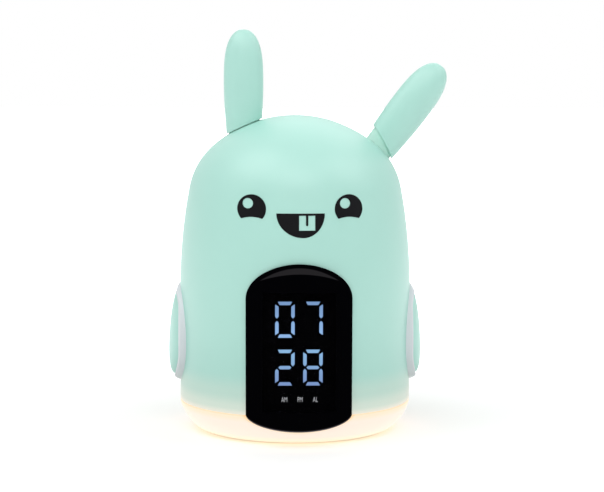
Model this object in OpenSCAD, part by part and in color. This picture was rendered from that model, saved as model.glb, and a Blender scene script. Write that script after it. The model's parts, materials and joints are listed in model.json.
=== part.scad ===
// Children's alarm clock with a night light, in the shape of a rabbit.
// The origin is on the table under the middle of the body. +Z is up, the face looks along -Y, and
// left and right are the viewer's, so the left ear is on the -X side.

/* [Body] */
// Outer diameter of the round body
body_d = 115.5; // [114:0.5:116]
// Height of the crown above the table
crown_z = 157.3; // [156.5:0.1:158]
// Wall thickness of the moulded shell
wall = 2.2; // [1.8:0.1:2.4]
// Height of the seam between the shell and the light ring
seam_z = 15; // [14:0.5:16]

/* [Ears] */
// How far an ear folds outwards from upright, in degrees
ear_fold = 37; // [30:1:38]
// Height of the tip of an upright ear
ear_tip_z = 200.1; // [190:0.1:205]
// Widest width of an ear
ear_w = 19.9; // [18:0.1:20.5]
// Depth of an ear as a share of its width
ear_depth_share = 0.74; // [0.7:0.01:0.85]

/* [Display] */
// Width of the display window
display_w = 51.2; // [50:0.1:52]
// Height of one digit
digit_h = 17.3; // [16:0.1:18]
// Thickness of the window
lens_t = 1.8; // [1.5:0.1:2.2]

/* [Arms] */
// Width of an arm, front to back
arm_w = 38.6; // [36:0.2:40]
// How far an arm button travels when it is pressed
arm_travel = 1; // [0.5:0.1:1]

/* [Hidden] */

$fn = 96;
fine_fn = 48;
cut = 0.5;   // how far a cutter runs past the face that it cuts
air = 0.1;   // air between pieces that lie against each other

mint = [0.66, 0.86, 0.8];
warm_white = [1, 0.9, 0.72];
ring_grey = [0.82, 0.85, 0.87];
black = [0.03, 0.03, 0.04];
steel = [0.7, 0.7, 0.72];
board_green = [0.1, 0.35, 0.2];

// Body outline: a crown arc, a shoulder arc and a side arc, each tangent to the next. An offset of the
// whole outline is the same three arcs with longer or shorter radii.
body_r = body_d / 2;
crown_r = 63;
shoulder_r = 36.8;
side_r = 272;
shoulder_x = 16.8;
crown_cz = crown_z - crown_r;
crown_end_a = asin(shoulder_x / (crown_r - shoulder_r));
shoulder_z = crown_cz + (crown_r - shoulder_r) * cos(crown_end_a);
side_x = body_r - side_r;
shoulder_end_a = asin((shoulder_x - side_x) / (side_r - shoulder_r));
side_z = shoulder_z - (side_r - shoulder_r) * cos(shoulder_end_a);

// Light ring
foot_r = 47.2;
base_z = 0.8;
ring_wall = 2.2;
ring_round = 1.5;   // exponent of the rounded lower edge: 1 is a cone, 2 an ellipse
lip_h = 4;
lip_r = body_r - wall - 0.3;

// Bottom cover, chassis and their screws
cover_r = foot_r - 0.6;
cover_t = 2;
flange_r = 43.2;
chassis_z = seam_z + lip_h + 0.2;
chassis_t = 2.2;
cover_post_r = 38.5;
chassis_boss_r = 49.6;
foot_pad_r = 38;
screw_r = 1.48;
cell_y = 15.5;
door_screw_y = 28;
speaker_y = -13;

// Display
display_top_h = 17;
display_bottom_h = 8;
display_side_top_z = 71.2;
display_side_bottom_z = 16;
mask_y = -53;
mask_t = 5.6;
board_t = 1.6;
tray_back_y = mask_y + mask_t + 2 * air + board_t;
digit_w = 9.3;
stroke = 1.65;
digit_x = 6.7;
digit_row_z = [61.2, 38.2];
display_gap_w = display_w + 1;   // the cut in the plates that the display's frame passes
display_gap_y = tray_back_y + 2.7;

// Rear panel
panel_half_w = 19.1;
panel_lo_z = 27;
panel_hi_z = 65;
panel_y = 52.2;
panel_t = 2;
button_r = 4;
button_travel = 0.8;
button_x = 6.5;
button_z = [43, 56];
usb_z = 32.5;
reset_x = 14.6;
seat_rim = 2.2;
seat_ledge = 1.2;
panel_screw_x = 15.8;
panel_screw_z = 46;
board_y = 41;
board_half_w = 12.8;
board_lo_z = 30.6;
board_hi_z = 65;
peg_x = 11;
peg_z = [33, 61.6];
switch_tip_y = 47;

// Arms
arm_z = 43.4;
arm_up = 30;
arm_down = 19.4;
ring_face_x = body_r + 0.6;
ring_w = 3.2;
flares = [3.1, 2.8];   // how much further the frame's lower and upper ends stand off the shell
flare_z = [39, 62];
tip_drops = [2.9, 3.4];   // how far the face falls back again at the lower and upper tips
tip_h = [3.2, 4.6];
arm_peak_x = body_r + 5.75;
arm_peak_z = 40.4;
arm_inset = ring_w + 0.3;

// Ears. The pivot is given for the right ear, and the left one is its mirror image.
pivot_x = 23;
pivot_z = 120.6;
ear_x = 25.8;
ear_lean = 0.2;
ear_mid_z = 151;
ear_head = 28;
ear_gap = 0.5;
neck_x = 25.55;
neck_half_w = 7.65;
neck_half_d = 4.8;
slot_air = 0.3;
hub_r = 7;
pin_r = 1.5;
shutter_r = 24.4;
shutter_t = 1.5;
shutter_in_a = 51;
shutter_out_a = ear_fold + 26;
frame_z = 103;
frame_t = 2.4;
frame_boss_x = 30;
frame_boss_y = 24;

function reversed(p) = [for (i = [len(p) - 1 : -1 : 0]) p[i]];

// Points of an arc, with its angles counted from straight up towards +X
function arc(x, z, r, a0, a1, n) =
    [for (i = [0 : n]) let (a = a0 + (a1 - a0) * i / n) [x + r * sin(a), z + r * cos(a)]];

// The body's outline from the crown down to z_lo, offset outwards by d
function outline(d, z_lo) = concat(
    arc(0, crown_cz, crown_r + d, 0, crown_end_a, 9),
    arc(shoulder_x, shoulder_z, shoulder_r + d, crown_end_a, shoulder_end_a, 12),
    arc(side_x, side_z, side_r + d, shoulder_end_a, 90, 4),
    [[body_r + d, z_lo]]
);

// Everything inside the body's outline, offset by d
module body_solid(d, z_lo) {
    rotate_extrude() polygon(concat([[0, z_lo]], outline(d, z_lo)));
}

// A skin that follows the body between two offsets
module skin(d_in, d_out, z_lo) {
    rotate_extrude() polygon(concat(outline(d_out, z_lo), reversed(outline(d_in, z_lo))));
}

// Extrudes a drawing of the x-z plane from y0 to y1
module along_y(y0, y1) {
    translate([0, y1, 0]) rotate([90, 0, 0]) linear_extrude(y1 - y0) children();
}

// Extrudes a drawing of the y-z plane from x0 to x1
module along_x(x0, x1) {
    translate([x0, 0, 0]) rotate([90, 0, 90]) linear_extrude(x1 - x0) children();
}

// A cylinder along Y
module rod_y(x, z, y0, y1, r) {
    translate([x, y1, z]) rotate([90, 0, 0]) cylinder(h = y1 - y0, r = r, $fn = fine_fn);
}

// Puts its children at n places on a circle of radius r, the first at angle a
module around(r, n, a = 0) {
    for (i = [0 : n - 1]) rotate([0, 0, a + 360 * i / n]) translate([r, 0, 0]) children();
}

module rounded_rect(x0, y0, x1, y1, r) {
    translate([x0 + r, y0]) square([x1 - x0 - 2 * r, y1 - y0]);
    translate([x0, y0 + r]) square([x1 - x0, y1 - y0 - 2 * r]);
    for (x = [x0 + r, x1 - r], y = [y0 + r, y1 - r]) translate([x, y]) circle(r = r, $fn = 32);
}

// ---- Shell ----

// The display's outline, drawn inwards by inset
module display_outline(inset) {
    half_w = display_w / 2 - inset;
    steps = 16;
    polygon([
        for (i = [0 : steps])
            let (a = 180 * i / steps)
            [half_w * cos(a), display_side_top_z + (display_top_h - inset) * sin(a)],
        for (i = [0 : steps])
            let (a = 180 + 180 * i / steps)
            [half_w * cos(a), display_side_bottom_z + (display_bottom_h - inset) * sin(a)]
    ]);
}

// Egg-shaped outline of an arm in the y-z plane, drawn inwards by inset
function egg(inset, n = fine_fn) = [
    for (i = [0 : n - 1])
        let (a = 360 * i / n, h = sin(a) > 0 ? arm_up : arm_down)
        [(arm_w / 2 - inset) * cos(a), arm_z + (h - inset) * sin(a)]
];

module both_sides() {
    children();
    mirror([1, 0, 0]) children();
}

// Turns its children about the right ear's pivot, outwards for a positive angle
module fold_ear(a) {
    translate([pivot_x, 0, pivot_z]) rotate([0, a, 0]) translate([-pivot_x, 0, -pivot_z]) children();
}

// The ear's oval neck between two heights, widened by grow
module neck(z0, z1, grow) {
    translate([neck_x, 0, z0]) linear_extrude(z1 - z0) polygon([
        for (i = [0 : fine_fn - 1])
            let (a = 360 * i / fine_fn)
            [(neck_half_w + grow) * cos(a), (neck_half_d + grow) * sin(a)]
    ]);
}

// The slot in the crown that the neck sweeps through as the ear folds
module ear_slot() {
    reach = 60;
    from_pivot = neck_x - pivot_x;
    // the cut between the two ends is a little narrower than the neck's own shape
    neck(pivot_z + 12, pivot_z + reach, slot_air);
    fold_ear(ear_fold) neck(pivot_z + 12, pivot_z + reach, slot_air);
    side_y = neck_half_d + slot_air / 2;
    along_y(-side_y, side_y) polygon([
        [neck_x, pivot_z + 12],
        [neck_x, pivot_z + reach],
        [pivot_x + reach * sin(ear_fold / 2), pivot_z + reach],
        [pivot_x + from_pivot * cos(ear_fold) + reach * sin(ear_fold),
         pivot_z - from_pivot * sin(ear_fold) + reach * cos(ear_fold)],
        [pivot_x + from_pivot * cos(ear_fold) + 12 * sin(ear_fold),
         pivot_z - from_pivot * sin(ear_fold) + 12 * cos(ear_fold)]
    ]);
}

// The boss that a chassis screw bites into, with the rib that ties it to the wall
module shell_boss() {
    boss_h = 20;
    translate([0, 0, chassis_z + chassis_t + air]) cylinder(h = boss_h, r = 3.6, $fn = fine_fn);
    translate([0, -1.2, chassis_z + chassis_t + air]) cube([body_r - chassis_boss_r - wall / 2, 2.4, boss_h]);
}

// A post from the inside of the crown down to the ear frame
module frame_boss() {
    intersection() {
        translate([frame_boss_x, frame_boss_y, frame_z + frame_t + air]) cylinder(h = 50, r = 3.5, $fn = fine_fn);
        body_solid(-wall / 2, seam_z);
    }
}

// The sunken seat of the rear panel: its rim, its ledge and two bosses for its screws
module rear_seat() {
    intersection() {
        along_y(panel_y - panel_t - 2, body_r) rounded_rect(
            -panel_half_w - seat_rim, panel_lo_z - seat_rim, panel_half_w + seat_rim, panel_hi_z + seat_rim, 5);
        body_solid(0, seam_z);
    }
    for (x = [-panel_screw_x, panel_screw_x])
        rod_y(x, panel_screw_z, panel_y - panel_t - 9, panel_y - panel_t - 2, 2.8);
}

module body_shell() {
    color(mint) difference() {
        union() {
            skin(-wall, 0, seam_z);
            around(chassis_boss_r, 4, 45) shell_boss();
            rear_seat();
            both_sides() {
                frame_boss();
                mirror([0, 1, 0]) frame_boss();
            }
        }
        along_y(-body_r - 5, -40) display_outline(0.7);
        both_sides() {
            ear_slot();
            along_x(body_r - 10, body_r + 5) polygon(egg(0.8));
            for (y = [-frame_boss_y, frame_boss_y])
                translate([frame_boss_x, y, frame_z]) cylinder(h = frame_t + 12, r = screw_r + 0.02, $fn = fine_fn);
        }
        around(chassis_boss_r, 4, 45)
            translate([0, 0, chassis_z]) cylinder(h = 16, r = screw_r + 0.02, $fn = fine_fn);
        along_y(panel_y - panel_t, body_r + 5) rounded_rect(
            -panel_half_w - 0.2, panel_lo_z - 0.2, panel_half_w + 0.2, panel_hi_z + 0.2, 3.2);
        along_y(panel_y - panel_t - 12, body_r + 5) difference() {
            rounded_rect(-panel_half_w + seat_ledge, panel_lo_z + seat_ledge,
                         panel_half_w - seat_ledge, panel_hi_z - seat_ledge, 2);
            for (x = [-panel_screw_x, panel_screw_x]) translate([x, panel_screw_z]) circle(r = 2.9, $fn = fine_fn);
        }
        for (x = [-panel_screw_x, panel_screw_x])
            rod_y(x, panel_screw_z, panel_y - panel_t - 8, panel_y, 1.02);
    }
}

// ---- Printed face ----

module eye_print() {
    eye_r = 6.8;
    lid_r = 15;
    lid_drop = 3.8;
    difference() {
        circle(r = eye_r, $fn = 64);
        translate([0, -lid_drop - lid_r]) circle(r = lid_r, $fn = 128);
        translate([-1.8, 2.6]) circle(r = 2.45, $fn = 40);
    }
}

module mouth_print() {
    low_x = 1.3;
    half_w = 11.5;
    depth = 11.5;
    tooth_gap = 1.1;
    difference() {
        polygon([
            for (i = [0 : 32])
                let (a = 180 + 180 * i / 32, w = a < 270 ? half_w + low_x : half_w - low_x)
                [low_x + w * cos(a), depth * sin(a)]
        ]);
        difference() {
            translate([-0.75, -8]) square([7.65, 7]);
            translate([2.5, -5.3]) square([tooth_gap, 5]);
            translate([2.5 + tooth_gap / 2, -5.3]) circle(d = tooth_gap, $fn = 24);
        }
    }
}

module face_print() {
    ink = 0.18;
    face_x = 0.6;
    eye_x = 23.1;
    eye_z = 113.85;
    mouth_z = 111.9;
    color(black) intersection() {
        skin(0.02, ink, seam_z);
        along_y(-body_r - 5, -30) {
            for (x = [-eye_x, eye_x]) translate([face_x + x, eye_z]) eye_print();
            translate([face_x, mouth_z]) mouth_print();
        }
    }
}

// ---- Display ----

module display_lens() {
    // each step is [inset of the outline, front offset], from the rim to the raised face
    color(black) for (step = [[0, lens_t - 0.7], [0.35, lens_t - 0.2], [0.9, lens_t + 0.1]])
        intersection() {
            skin(air, step[1], 5);
            along_y(-body_r - 5, -40) display_outline(step[0]);
        }
}

module display_frame() {
    flange_lo_z = chassis_z + chassis_t + 0.8;
    color(black) difference() {
        union() {
            intersection() {
                body_solid(0.05, 5);
                along_y(-body_r - 5, tray_back_y + 2) display_outline(1);
            }
            intersection() {
                skin(-wall - 2.2, -wall - 0.2, flange_lo_z);
                along_y(-body_r - 5, -35) display_outline(-3);
            }
        }
        along_y(-body_r - 5, tray_back_y) display_outline(2.8);
        // a window in the back for the display's ribbon cable
        along_y(tray_back_y - 1, tray_back_y + 5) rounded_rect(-8, 24, 8, 34, 1);
    }
}

// The seven bars of a digit, each a list of points, in the order a to g
function digit_bars() =
    let (w = digit_w, h = digit_h, s = stroke, e = 1.25, q = 0.55, m = h / 2)
    [
        [[e, h], [w - e, h], [w - e - s * 0.55, h - s], [e + s * 0.55, h - s]],
        [[w, h - e], [w, m + q + s * 0.6], [w - s / 2, m + q], [w - s, m + q + s * 0.6], [w - s, h - e - s * 0.7]],
        [[w, e], [w - s, e + s * 0.7], [w - s, m - q - s * 0.6], [w - s / 2, m - q], [w, m - q - s * 0.6]],
        [[e, 0], [w - e, 0], [w - e - s * 0.55, s], [e + s * 0.55, s]],
        [[0, e], [s, e + s * 0.7], [s, m - q - s * 0.6], [s / 2, m - q], [0, m - q - s * 0.6]],
        [[0, h - e], [0, m + q + s * 0.6], [s / 2, m + q], [s, m + q + s * 0.6], [s, h - e - s * 0.7]],
        [[e + 0.3, m], [e + 1.1, m + s / 2], [w - e - 1.1, m + s / 2], [w - e - 0.3, m],
         [w - e - 1.1, m - s / 2], [e + 1.1, m - s / 2]]
    ];

// Which bars of 0, 7, 2 and 8 are lit
LIT = [
    [1, 1, 1, 1, 1, 1, 0],
    [1, 1, 1, 0, 0, 0, 0],
    [1, 1, 0, 1, 1, 0, 1],
    [1, 1, 1, 1, 1, 1, 1]
];

// The bars of all four digits whose lit state is in states
module digits(states) {
    for (i = [0 : 3], b = [0 : 6])
        if (len(search(LIT[i][b], states)) > 0)
            translate([(i % 2 == 0 ? -digit_x : digit_x) - digit_w / 2, digit_row_z[floor(i / 2)] - digit_h / 2])
                polygon(digit_bars()[b]);
}

module segment_mask() {
    color([0.06, 0.06, 0.06]) difference() {
        along_y(mask_y, mask_y + mask_t) display_outline(3.1);
        along_y(mask_y - cut, mask_y + 3) digits([0, 1]);
    }
}

module lit_segments() {
    color([0.55, 0.7, 0.95]) along_y(mask_y + 0.1, mask_y + 2.95) digits([1]);
}

module dark_segments() {
    color([0.1, 0.1, 0.11]) along_y(mask_y + 0.1, mask_y + 2.95) digits([0]);
}

module display_board() {
    color(board_green) difference() {
        along_y(mask_y + mask_t + air, mask_y + mask_t + air + board_t) display_outline(3.1);
        for (x = [-18, 18], z = [20, 70]) rod_y(x, z, mask_y + mask_t - 1, mask_y + mask_t + 3, 1.1);
    }
}

// ---- Base ----

// Outer outline of the light ring's rounded edge, from the seam down to the foot, drawn inwards by d
function ring_edge(d) = [
    for (i = [0 : 10])
        let (t = i / 10, z = seam_z - (seam_z - base_z) * t)
        [foot_r - d + (body_r - foot_r) * pow(max(0, 1 - pow(t, ring_round)), 1 / ring_round),
         max(z, base_z + d * 1.7)]
];

module light_ring() {
    color(warm_white) difference() {
        rotate_extrude() polygon(concat(
            ring_edge(0),
            [[cover_r + 0.2, base_z], [cover_r + 0.2, base_z + cover_t + air], [flange_r, base_z + cover_t + air],
             [flange_r, base_z + cover_t + 1.7]],
            [for (p = reversed(ring_edge(ring_wall))) if (p[1] < seam_z - 2) p],
            [[lip_r - 1.6, seam_z - 1.5], [lip_r - 1.6, seam_z + lip_h], [lip_r, seam_z + lip_h],
             [lip_r, seam_z]]
        ));
        along_y(-body_r - 5, -40) display_outline(0.7);
    }
}

module chassis() {
    color([0.9, 0.9, 0.88]) difference() {
        union() {
            translate([0, 0, chassis_z]) cylinder(h = chassis_t, r = body_r - wall - 0.5);
            around(cover_post_r, 4) translate([0, 0, chassis_z]) cylinder(h = 11, r = 3.6, $fn = fine_fn);
            // ring rib that stiffens the plate
            translate([0, 0, chassis_z]) difference() {
                cylinder(h = chassis_t + 4, r = 30);
                translate([0, 0, -cut]) cylinder(h = 10, r = 28.4);
            }
        }
        translate([0, 0, chassis_z - cut]) cylinder(h = 20, r = 22);
        around(cover_post_r, 4) translate([0, 0, chassis_z - cut]) cylinder(h = 10, r = screw_r + 0.02, $fn = fine_fn);
        around(chassis_boss_r, 4, 45) translate([0, 0, chassis_z - cut]) cylinder(h = 5, r = 1.8, $fn = fine_fn);
        // eight windows, so that the light board can be reached from above
        around(43.5, 8, 22.5) translate([0, 0, chassis_z - cut]) cylinder(h = 5, r = 3, $fn = fine_fn);
        translate([-display_gap_w / 2, -body_r, chassis_z - cut]) cube([display_gap_w, body_r + display_gap_y, 20]);
    }
}

// The openings of the cover's speaker grille
module speaker_slots() {
    slot_w = 2.2;
    for (i = [-2 : 2]) {
        half_l = sqrt(13 * 13 - pow(5 * i, 2));
        translate([5 * i, speaker_y]) {
            square([slot_w, 2 * (half_l - slot_w / 2)], center = true);
            for (s = [-1, 1]) translate([0, s * (half_l - slot_w / 2)]) circle(d = slot_w, $fn = 24);
        }
    }
}

// Outline of the battery door: a round lid with a lug for its screw
module door_outline(grow) {
    translate([0, cell_y]) circle(r = 11.4 + grow, $fn = 64);
    translate([-3.4 - grow, cell_y]) square([6.8 + 2 * grow, door_screw_y - cell_y]);
    translate([0, door_screw_y]) circle(r = 3.4 + grow, $fn = 40);
}

module bottom_cover() {
    color([0.93, 0.93, 0.91]) difference() {
        union() {
            translate([0, 0, base_z]) cylinder(h = cover_t, r = cover_r);
            around(cover_post_r, 4) translate([0, 0, base_z + 1]) cylinder(h = chassis_z - base_z - 1 - air, r = 4.2, $fn = fine_fn);
            // collar round the speaker
            translate([0, speaker_y, base_z + cover_t - cut]) difference() {
                cylinder(h = 3, r = 17.6);
                translate([0, 0, -cut]) cylinder(h = 6, r = 16.2);
            }
            // boss for the door's screw
            translate([0, door_screw_y, base_z + cover_t - cut]) cylinder(h = 6, r = 2.3, $fn = fine_fn);
        }
        around(cover_post_r, 4) {
            translate([0, 0, base_z - cut]) cylinder(h = 30, r = 1.7, $fn = fine_fn);
            translate([0, 0, base_z - cut]) cylinder(h = cut + 2.6, r = 3.2, $fn = fine_fn);
        }
        translate([0, 0, base_z - cut]) linear_extrude(cover_t + 2 * cut) speaker_slots();
        translate([0, 0, base_z - cut]) linear_extrude(cut + 1.4) door_outline(0.2);
        translate([0, cell_y, base_z - cut]) cylinder(h = 5, r = 10.4);
        translate([0, door_screw_y, base_z - cut]) cylinder(h = 7.5, r = 1.02, $fn = fine_fn);
        around(foot_pad_r, 4, 45) translate([0, 0, base_z - cut]) cylinder(h = cut + 0.5, r = 4.6, $fn = fine_fn);
    }
}

module rubber_feet() {
    color([0.25, 0.25, 0.26]) around(foot_pad_r, 4, 45) rotate_extrude($fn = fine_fn)
        polygon([[0, 0], [4, 0], [4.5, 0.5], [4.5, base_z + 0.4], [0, base_z + 0.4]]);
}

// A cross-head screw that points up, its head's underside at z = 0
module screw(r, length, head_r, head_h) {
    difference() {
        union() {
            cylinder(h = length, r = r, $fn = fine_fn);
            translate([0, 0, -head_h]) cylinder(h = head_h, r1 = head_r * 0.8, r2 = head_r, $fn = fine_fn);
        }
        for (a = [0, 90]) rotate([0, 0, a])
            translate([-head_r * 0.6, -head_r * 0.13, -head_h - cut]) cube([head_r * 1.2, head_r * 0.26, cut + head_h * 0.6]);
    }
}

module cover_screws() {
    color(steel) around(cover_post_r, 4) translate([0, 0, base_z + 2.55]) screw(screw_r, 22, 2.8, 1.9);
}

module chassis_screws() {
    color(steel) around(chassis_boss_r, 4, 45) translate([0, 0, chassis_z - 0.05]) screw(screw_r, 12, 2.7, 1.8);
}

module battery_door() {
    color([0.93, 0.93, 0.91]) difference() {
        translate([0, 0, base_z]) linear_extrude(1.3) door_outline(0);
        translate([0, door_screw_y, base_z - cut]) cylinder(h = 3, r = 1.2, $fn = fine_fn);
        translate([0, door_screw_y, base_z - cut]) cylinder(h = cut + 0.7, r = 2.1, $fn = fine_fn);
        // finger groove
        translate([-6, 8, base_z - cut]) cube([12, 1.6, cut + 0.6]);
    }
}

module battery_door_screw() {
    color(steel) translate([0, door_screw_y, base_z + 0.65]) screw(1, 5.5, 1.9, 0.6);
}

module cell_holder() {
    color(black) difference() {
        translate([0, cell_y, base_z + cover_t + air]) cylinder(h = 5.2, r = 12.4);
        translate([0, cell_y, base_z + cover_t - cut]) cylinder(h = cut + 4, r = 10.3);
        translate([0, door_screw_y, base_z + cover_t - cut]) cylinder(h = 7, r = 3.1, $fn = fine_fn);
        translate([-18, 1, base_z + cover_t - cut]) cube([36, 4.6, 7]);
        translate([-4, 2, base_z + cover_t - cut]) cube([8, 8, 7]);
    }
}

module backup_cell() {
    color(steel) translate([0, cell_y, base_z + cover_t + 0.5]) rotate_extrude()
        polygon([[0, 0], [8.6, 0], [9, 0.6], [10, 0.7], [10, 3.2], [0, 3.2]]);
}

// ---- Speaker ----

module speaker_basket() {
    color(black) translate([0, speaker_y, base_z + cover_t + air]) difference() {
        rotate_extrude() polygon([[13.6, 0], [16, 0], [16, 1.4], [14.6, 1.4], [10, 6.4], [10, 7.4], [7.2, 7.4], [7.2, 6.2],
                                  [8.6, 6.2], [13.6, 0.9]]);
        around(12, 6) translate([0, 0, 3.6]) rotate([0, 90, 0]) cylinder(h = 8, r = 1.6, center = true, $fn = fine_fn);
    }
}

module speaker_cone() {
    cap_r = 13;
    cap_z = 16.3;
    color([0.15, 0.15, 0.15]) translate([0, speaker_y, base_z + cover_t + air]) rotate_extrude() polygon(concat(
        [[13.4, 0.1], [13.4, 0.6], [12.4, 0.6], [7.3, 5.2], [7, 7], [6.5, 7]],
        arc(0, cap_z, cap_r, 150, 180, 5),
        arc(0, cap_z, cap_r + 0.4, 180, 150, 5),
        [[7.1, 4.7], [12.1, 0.1]]
    ));
}

module speaker_magnet() {
    color(steel) translate([0, speaker_y, base_z + cover_t + air]) difference() {
        translate([0, 0, 7.5]) cylinder(h = 5.5, r = 9);
        translate([0, 0, 7]) cylinder(h = 3, r = 7.4);
    }
}

// ---- Night light ----

module light_board() {
    color([0.92, 0.93, 0.9]) difference() {
        translate([0, 0, chassis_z - board_t - air]) cylinder(h = board_t, r = 45.5);
        translate([0, 0, chassis_z - 5]) cylinder(h = 10, r = 31);
        around(cover_post_r, 4) translate([0, 0, chassis_z - 5]) cylinder(h = 10, r = 4.5, $fn = fine_fn);
        translate([-display_gap_w / 2, -body_r, chassis_z - 5]) cube([display_gap_w, body_r + display_gap_y, 10]);
    }
}

module night_leds() {
    color([1, 0.95, 0.8]) around(41, 12, 15)
        translate([-1.4, -1.75, chassis_z - board_t - 2 * air - 1.8]) cube([2.8, 3.5, 1.8]);
}

// ---- Rear panel ----

module at_buttons() {
    for (x = [-button_x, button_x], z = button_z) translate([x, 0, z]) children();
}

module rear_panel() {
    back_y = panel_y - panel_t;
    color(mint) difference() {
        union() {
            along_y(back_y + 0.05, panel_y) rounded_rect(-panel_half_w, panel_lo_z, panel_half_w, panel_hi_z, 3);
            for (x = [-peg_x, peg_x], z = peg_z) rod_y(x, z, board_y + board_t + 0.05, back_y + 1, 1.7);
        }
        for (x = [-button_x, button_x], z = button_z) rod_y(x, z, back_y - cut, panel_y + cut, button_r + 0.2);
        along_y(back_y - cut, panel_y + cut) rounded_rect(-4.75, usb_z - 1.9, 4.75, usb_z + 1.9, 1.8);
        for (x = [-panel_screw_x, panel_screw_x]) {
            rod_y(x, panel_screw_z, back_y - cut, panel_y + cut, 1.2);
            rod_y(x, panel_screw_z, panel_y - 0.9, panel_y + cut, 2.2);
        }
        rod_y(reset_x, usb_z, back_y - cut, panel_y + cut, 0.8);
    }
}

module rear_panel_screws() {
    color(steel) for (x = [-panel_screw_x, panel_screw_x])
        translate([x, panel_y - 0.85, panel_screw_z]) rotate([90, 0, 0]) screw(1, 7, 2, 0.8);
}

module main_board() {
    color(board_green) difference() {
        along_y(board_y, board_y + board_t) rounded_rect(-board_half_w, board_lo_z, board_half_w, board_hi_z, 1);
        for (x = [-peg_x, peg_x], z = peg_z) rod_y(x, z, board_y - cut, board_y + board_t + cut, 0.8);
    }
}

module main_board_chips() {
    color(black) {
        translate([-5, board_y - 1.7, 44]) cube([10, 1.65, 10]);
        translate([-3, board_y - 1.3, 33]) cube([5, 1.25, 4]);
        translate([6, board_y - 6, 34]) rotate([-90, 0, 0]) cylinder(h = 5.95, r = 2.5, $fn = fine_fn);
    }
}

module panel_switches() {
    color(black) at_buttons() {
        translate([-3, board_y + board_t + 0.05, -3]) cube([6, 3.5, 6]);
        rod_y(0, 0, board_y + board_t + 3, switch_tip_y, 1.7);
    }
}

module usb_socket() {
    y0 = board_y + board_t + 0.05;
    color(steel) difference() {
        along_y(y0, panel_y - 0.3) rounded_rect(-4.5, usb_z - 1.6, 4.5, usb_z + 1.6, 1.55);
        along_y(y0 + 2, panel_y + cut) rounded_rect(-4.2, usb_z - 1.3, 4.2, usb_z + 1.3, 1.25);
    }
    // contact tongue
    color(black) translate([-3.3, y0 + 1, usb_z - 0.35]) cube([6.6, 7, 0.7]);
}

// One round push button of the rear panel, with the flange that keeps it in
module push_button(x, z) {
    stem_y = switch_tip_y + button_travel + air;
    flange_r = button_r + 1;
    flange_y = stem_y + 1;
    flange_end_y = panel_y - panel_t - 0.15;
    color(mint) translate([x, 0, z]) rotate([-90, 0, 0]) rotate_extrude($fn = fine_fn) polygon(concat(
        [[0, stem_y], [1.6, stem_y], [1.6, flange_y], [flange_r, flange_y], [flange_r, flange_end_y],
         [button_r, flange_end_y], [button_r, panel_y + 0.5]],
        arc(button_r - 0.5, panel_y + 0.5, 0.5, 80, 0, 4),
        [[0, panel_y + 1.1]]
    ));
}

module clock_button() { push_button(-button_x, button_z[1]); }
module alarm_button() { push_button(button_x, button_z[1]); }
module minus_button() { push_button(-button_x, button_z[0]); }
module plus_button() { push_button(button_x, button_z[0]); }

// ---- Arms, drawn on the right side ----

arm_stud_z = [arm_z + arm_up - 1.5, arm_z - arm_down + 1.5];
arm_switch_x = 44;
arm_switch_tip_x = 50;

// A cylinder along X in the plane of symmetry
module rod_x(x0, x1, z, r) {
    translate([x0, 0, z]) rotate([0, 90, 0]) cylinder(h = x1 - x0, r = r, $fn = fine_fn);
}

// How far out the frame's face is at height z: it flares towards both ends and rounds off at the tips
function ring_face(z) =
    let (low = arm_z - arm_down, high = arm_z + arm_up)
    ring_face_x
        + flares[0] * pow(max(0, (flare_z[0] - z) / (flare_z[0] - low)), 1.5)
        + flares[1] * pow(max(0, (z - flare_z[1]) / (high - flare_z[1])), 1.5)
        - tip_drops[0] * pow(max(0, 1 - (z - low) / tip_h[0]), 1.3)
        - tip_drops[1] * pow(max(0, 1 - (high - z) / tip_h[1]), 1.3);

// The arm's outline, drawn inwards by inset, in a plane across X or at a depth below the frame's face
function flat_loop(inset, x) = [for (p = egg(inset)) [x, p[0], p[1]]];
function face_loop(inset, depth) = [for (p = egg(inset)) [ring_face(p[1]) - depth, p[0], p[1]]];

module arm_ring() {
    // each step is [inset, depth below the face], over the rounded rim of the frame
    rim_steps = [[0, 1.3], [0.35, 0.6], [0.95, 0.15], [1.6, 0], [ring_w + 0.5, 0]];
    color(ring_grey) difference() {
        union() {
            difference() {
                loft(concat(
                    [flat_loop(0, body_r - 6)],
                    [for (step = rim_steps) face_loop(step[0], step[1])],
                    [flat_loop(ring_w + 1.5, body_r - 3)]
                ));
                body_solid(0.04, 5);
            }
            along_x(body_r - 8.5, body_r + 0.2) polygon(egg(1));
            for (z = arm_stud_z) {
                rod_x(45.7, 50.2, z, 2);
                rod_x(43.2, 46, z, 0.9);
            }
        }
        along_x(body_r - 4, ring_face_x + flares[0] + cut) polygon(egg(ring_w));
        along_x(body_r - 9, body_r - 4) polygon(egg(2));
    }
}

// Rings of the button from its skirt up over the crowned face, where the outline shrinks as it rises.
// The part above the peak tapers more than the part below it.
function button_rings() =
    let (rim = face_loop(arm_inset, 0.3), steps = 7)
    concat(
        [flat_loop(arm_inset, body_r - 6), rim],
        [for (i = [1 : steps])
            let (low = cos(i * 12.5),
                 rise = pow(1 - pow(low, 2.4), 0.5),
                 high = pow(1 - pow(rise, 4 / 3), 1 / 1.8))
            [for (p = rim) [
                i == steps ? arm_peak_x : p[0] + (arm_peak_x - p[0]) * rise,
                p[1] * (low + high) / 2,
                arm_peak_z + (p[2] - arm_peak_z) * (p[2] < arm_peak_z ? low : high)
            ]]]
    );

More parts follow.
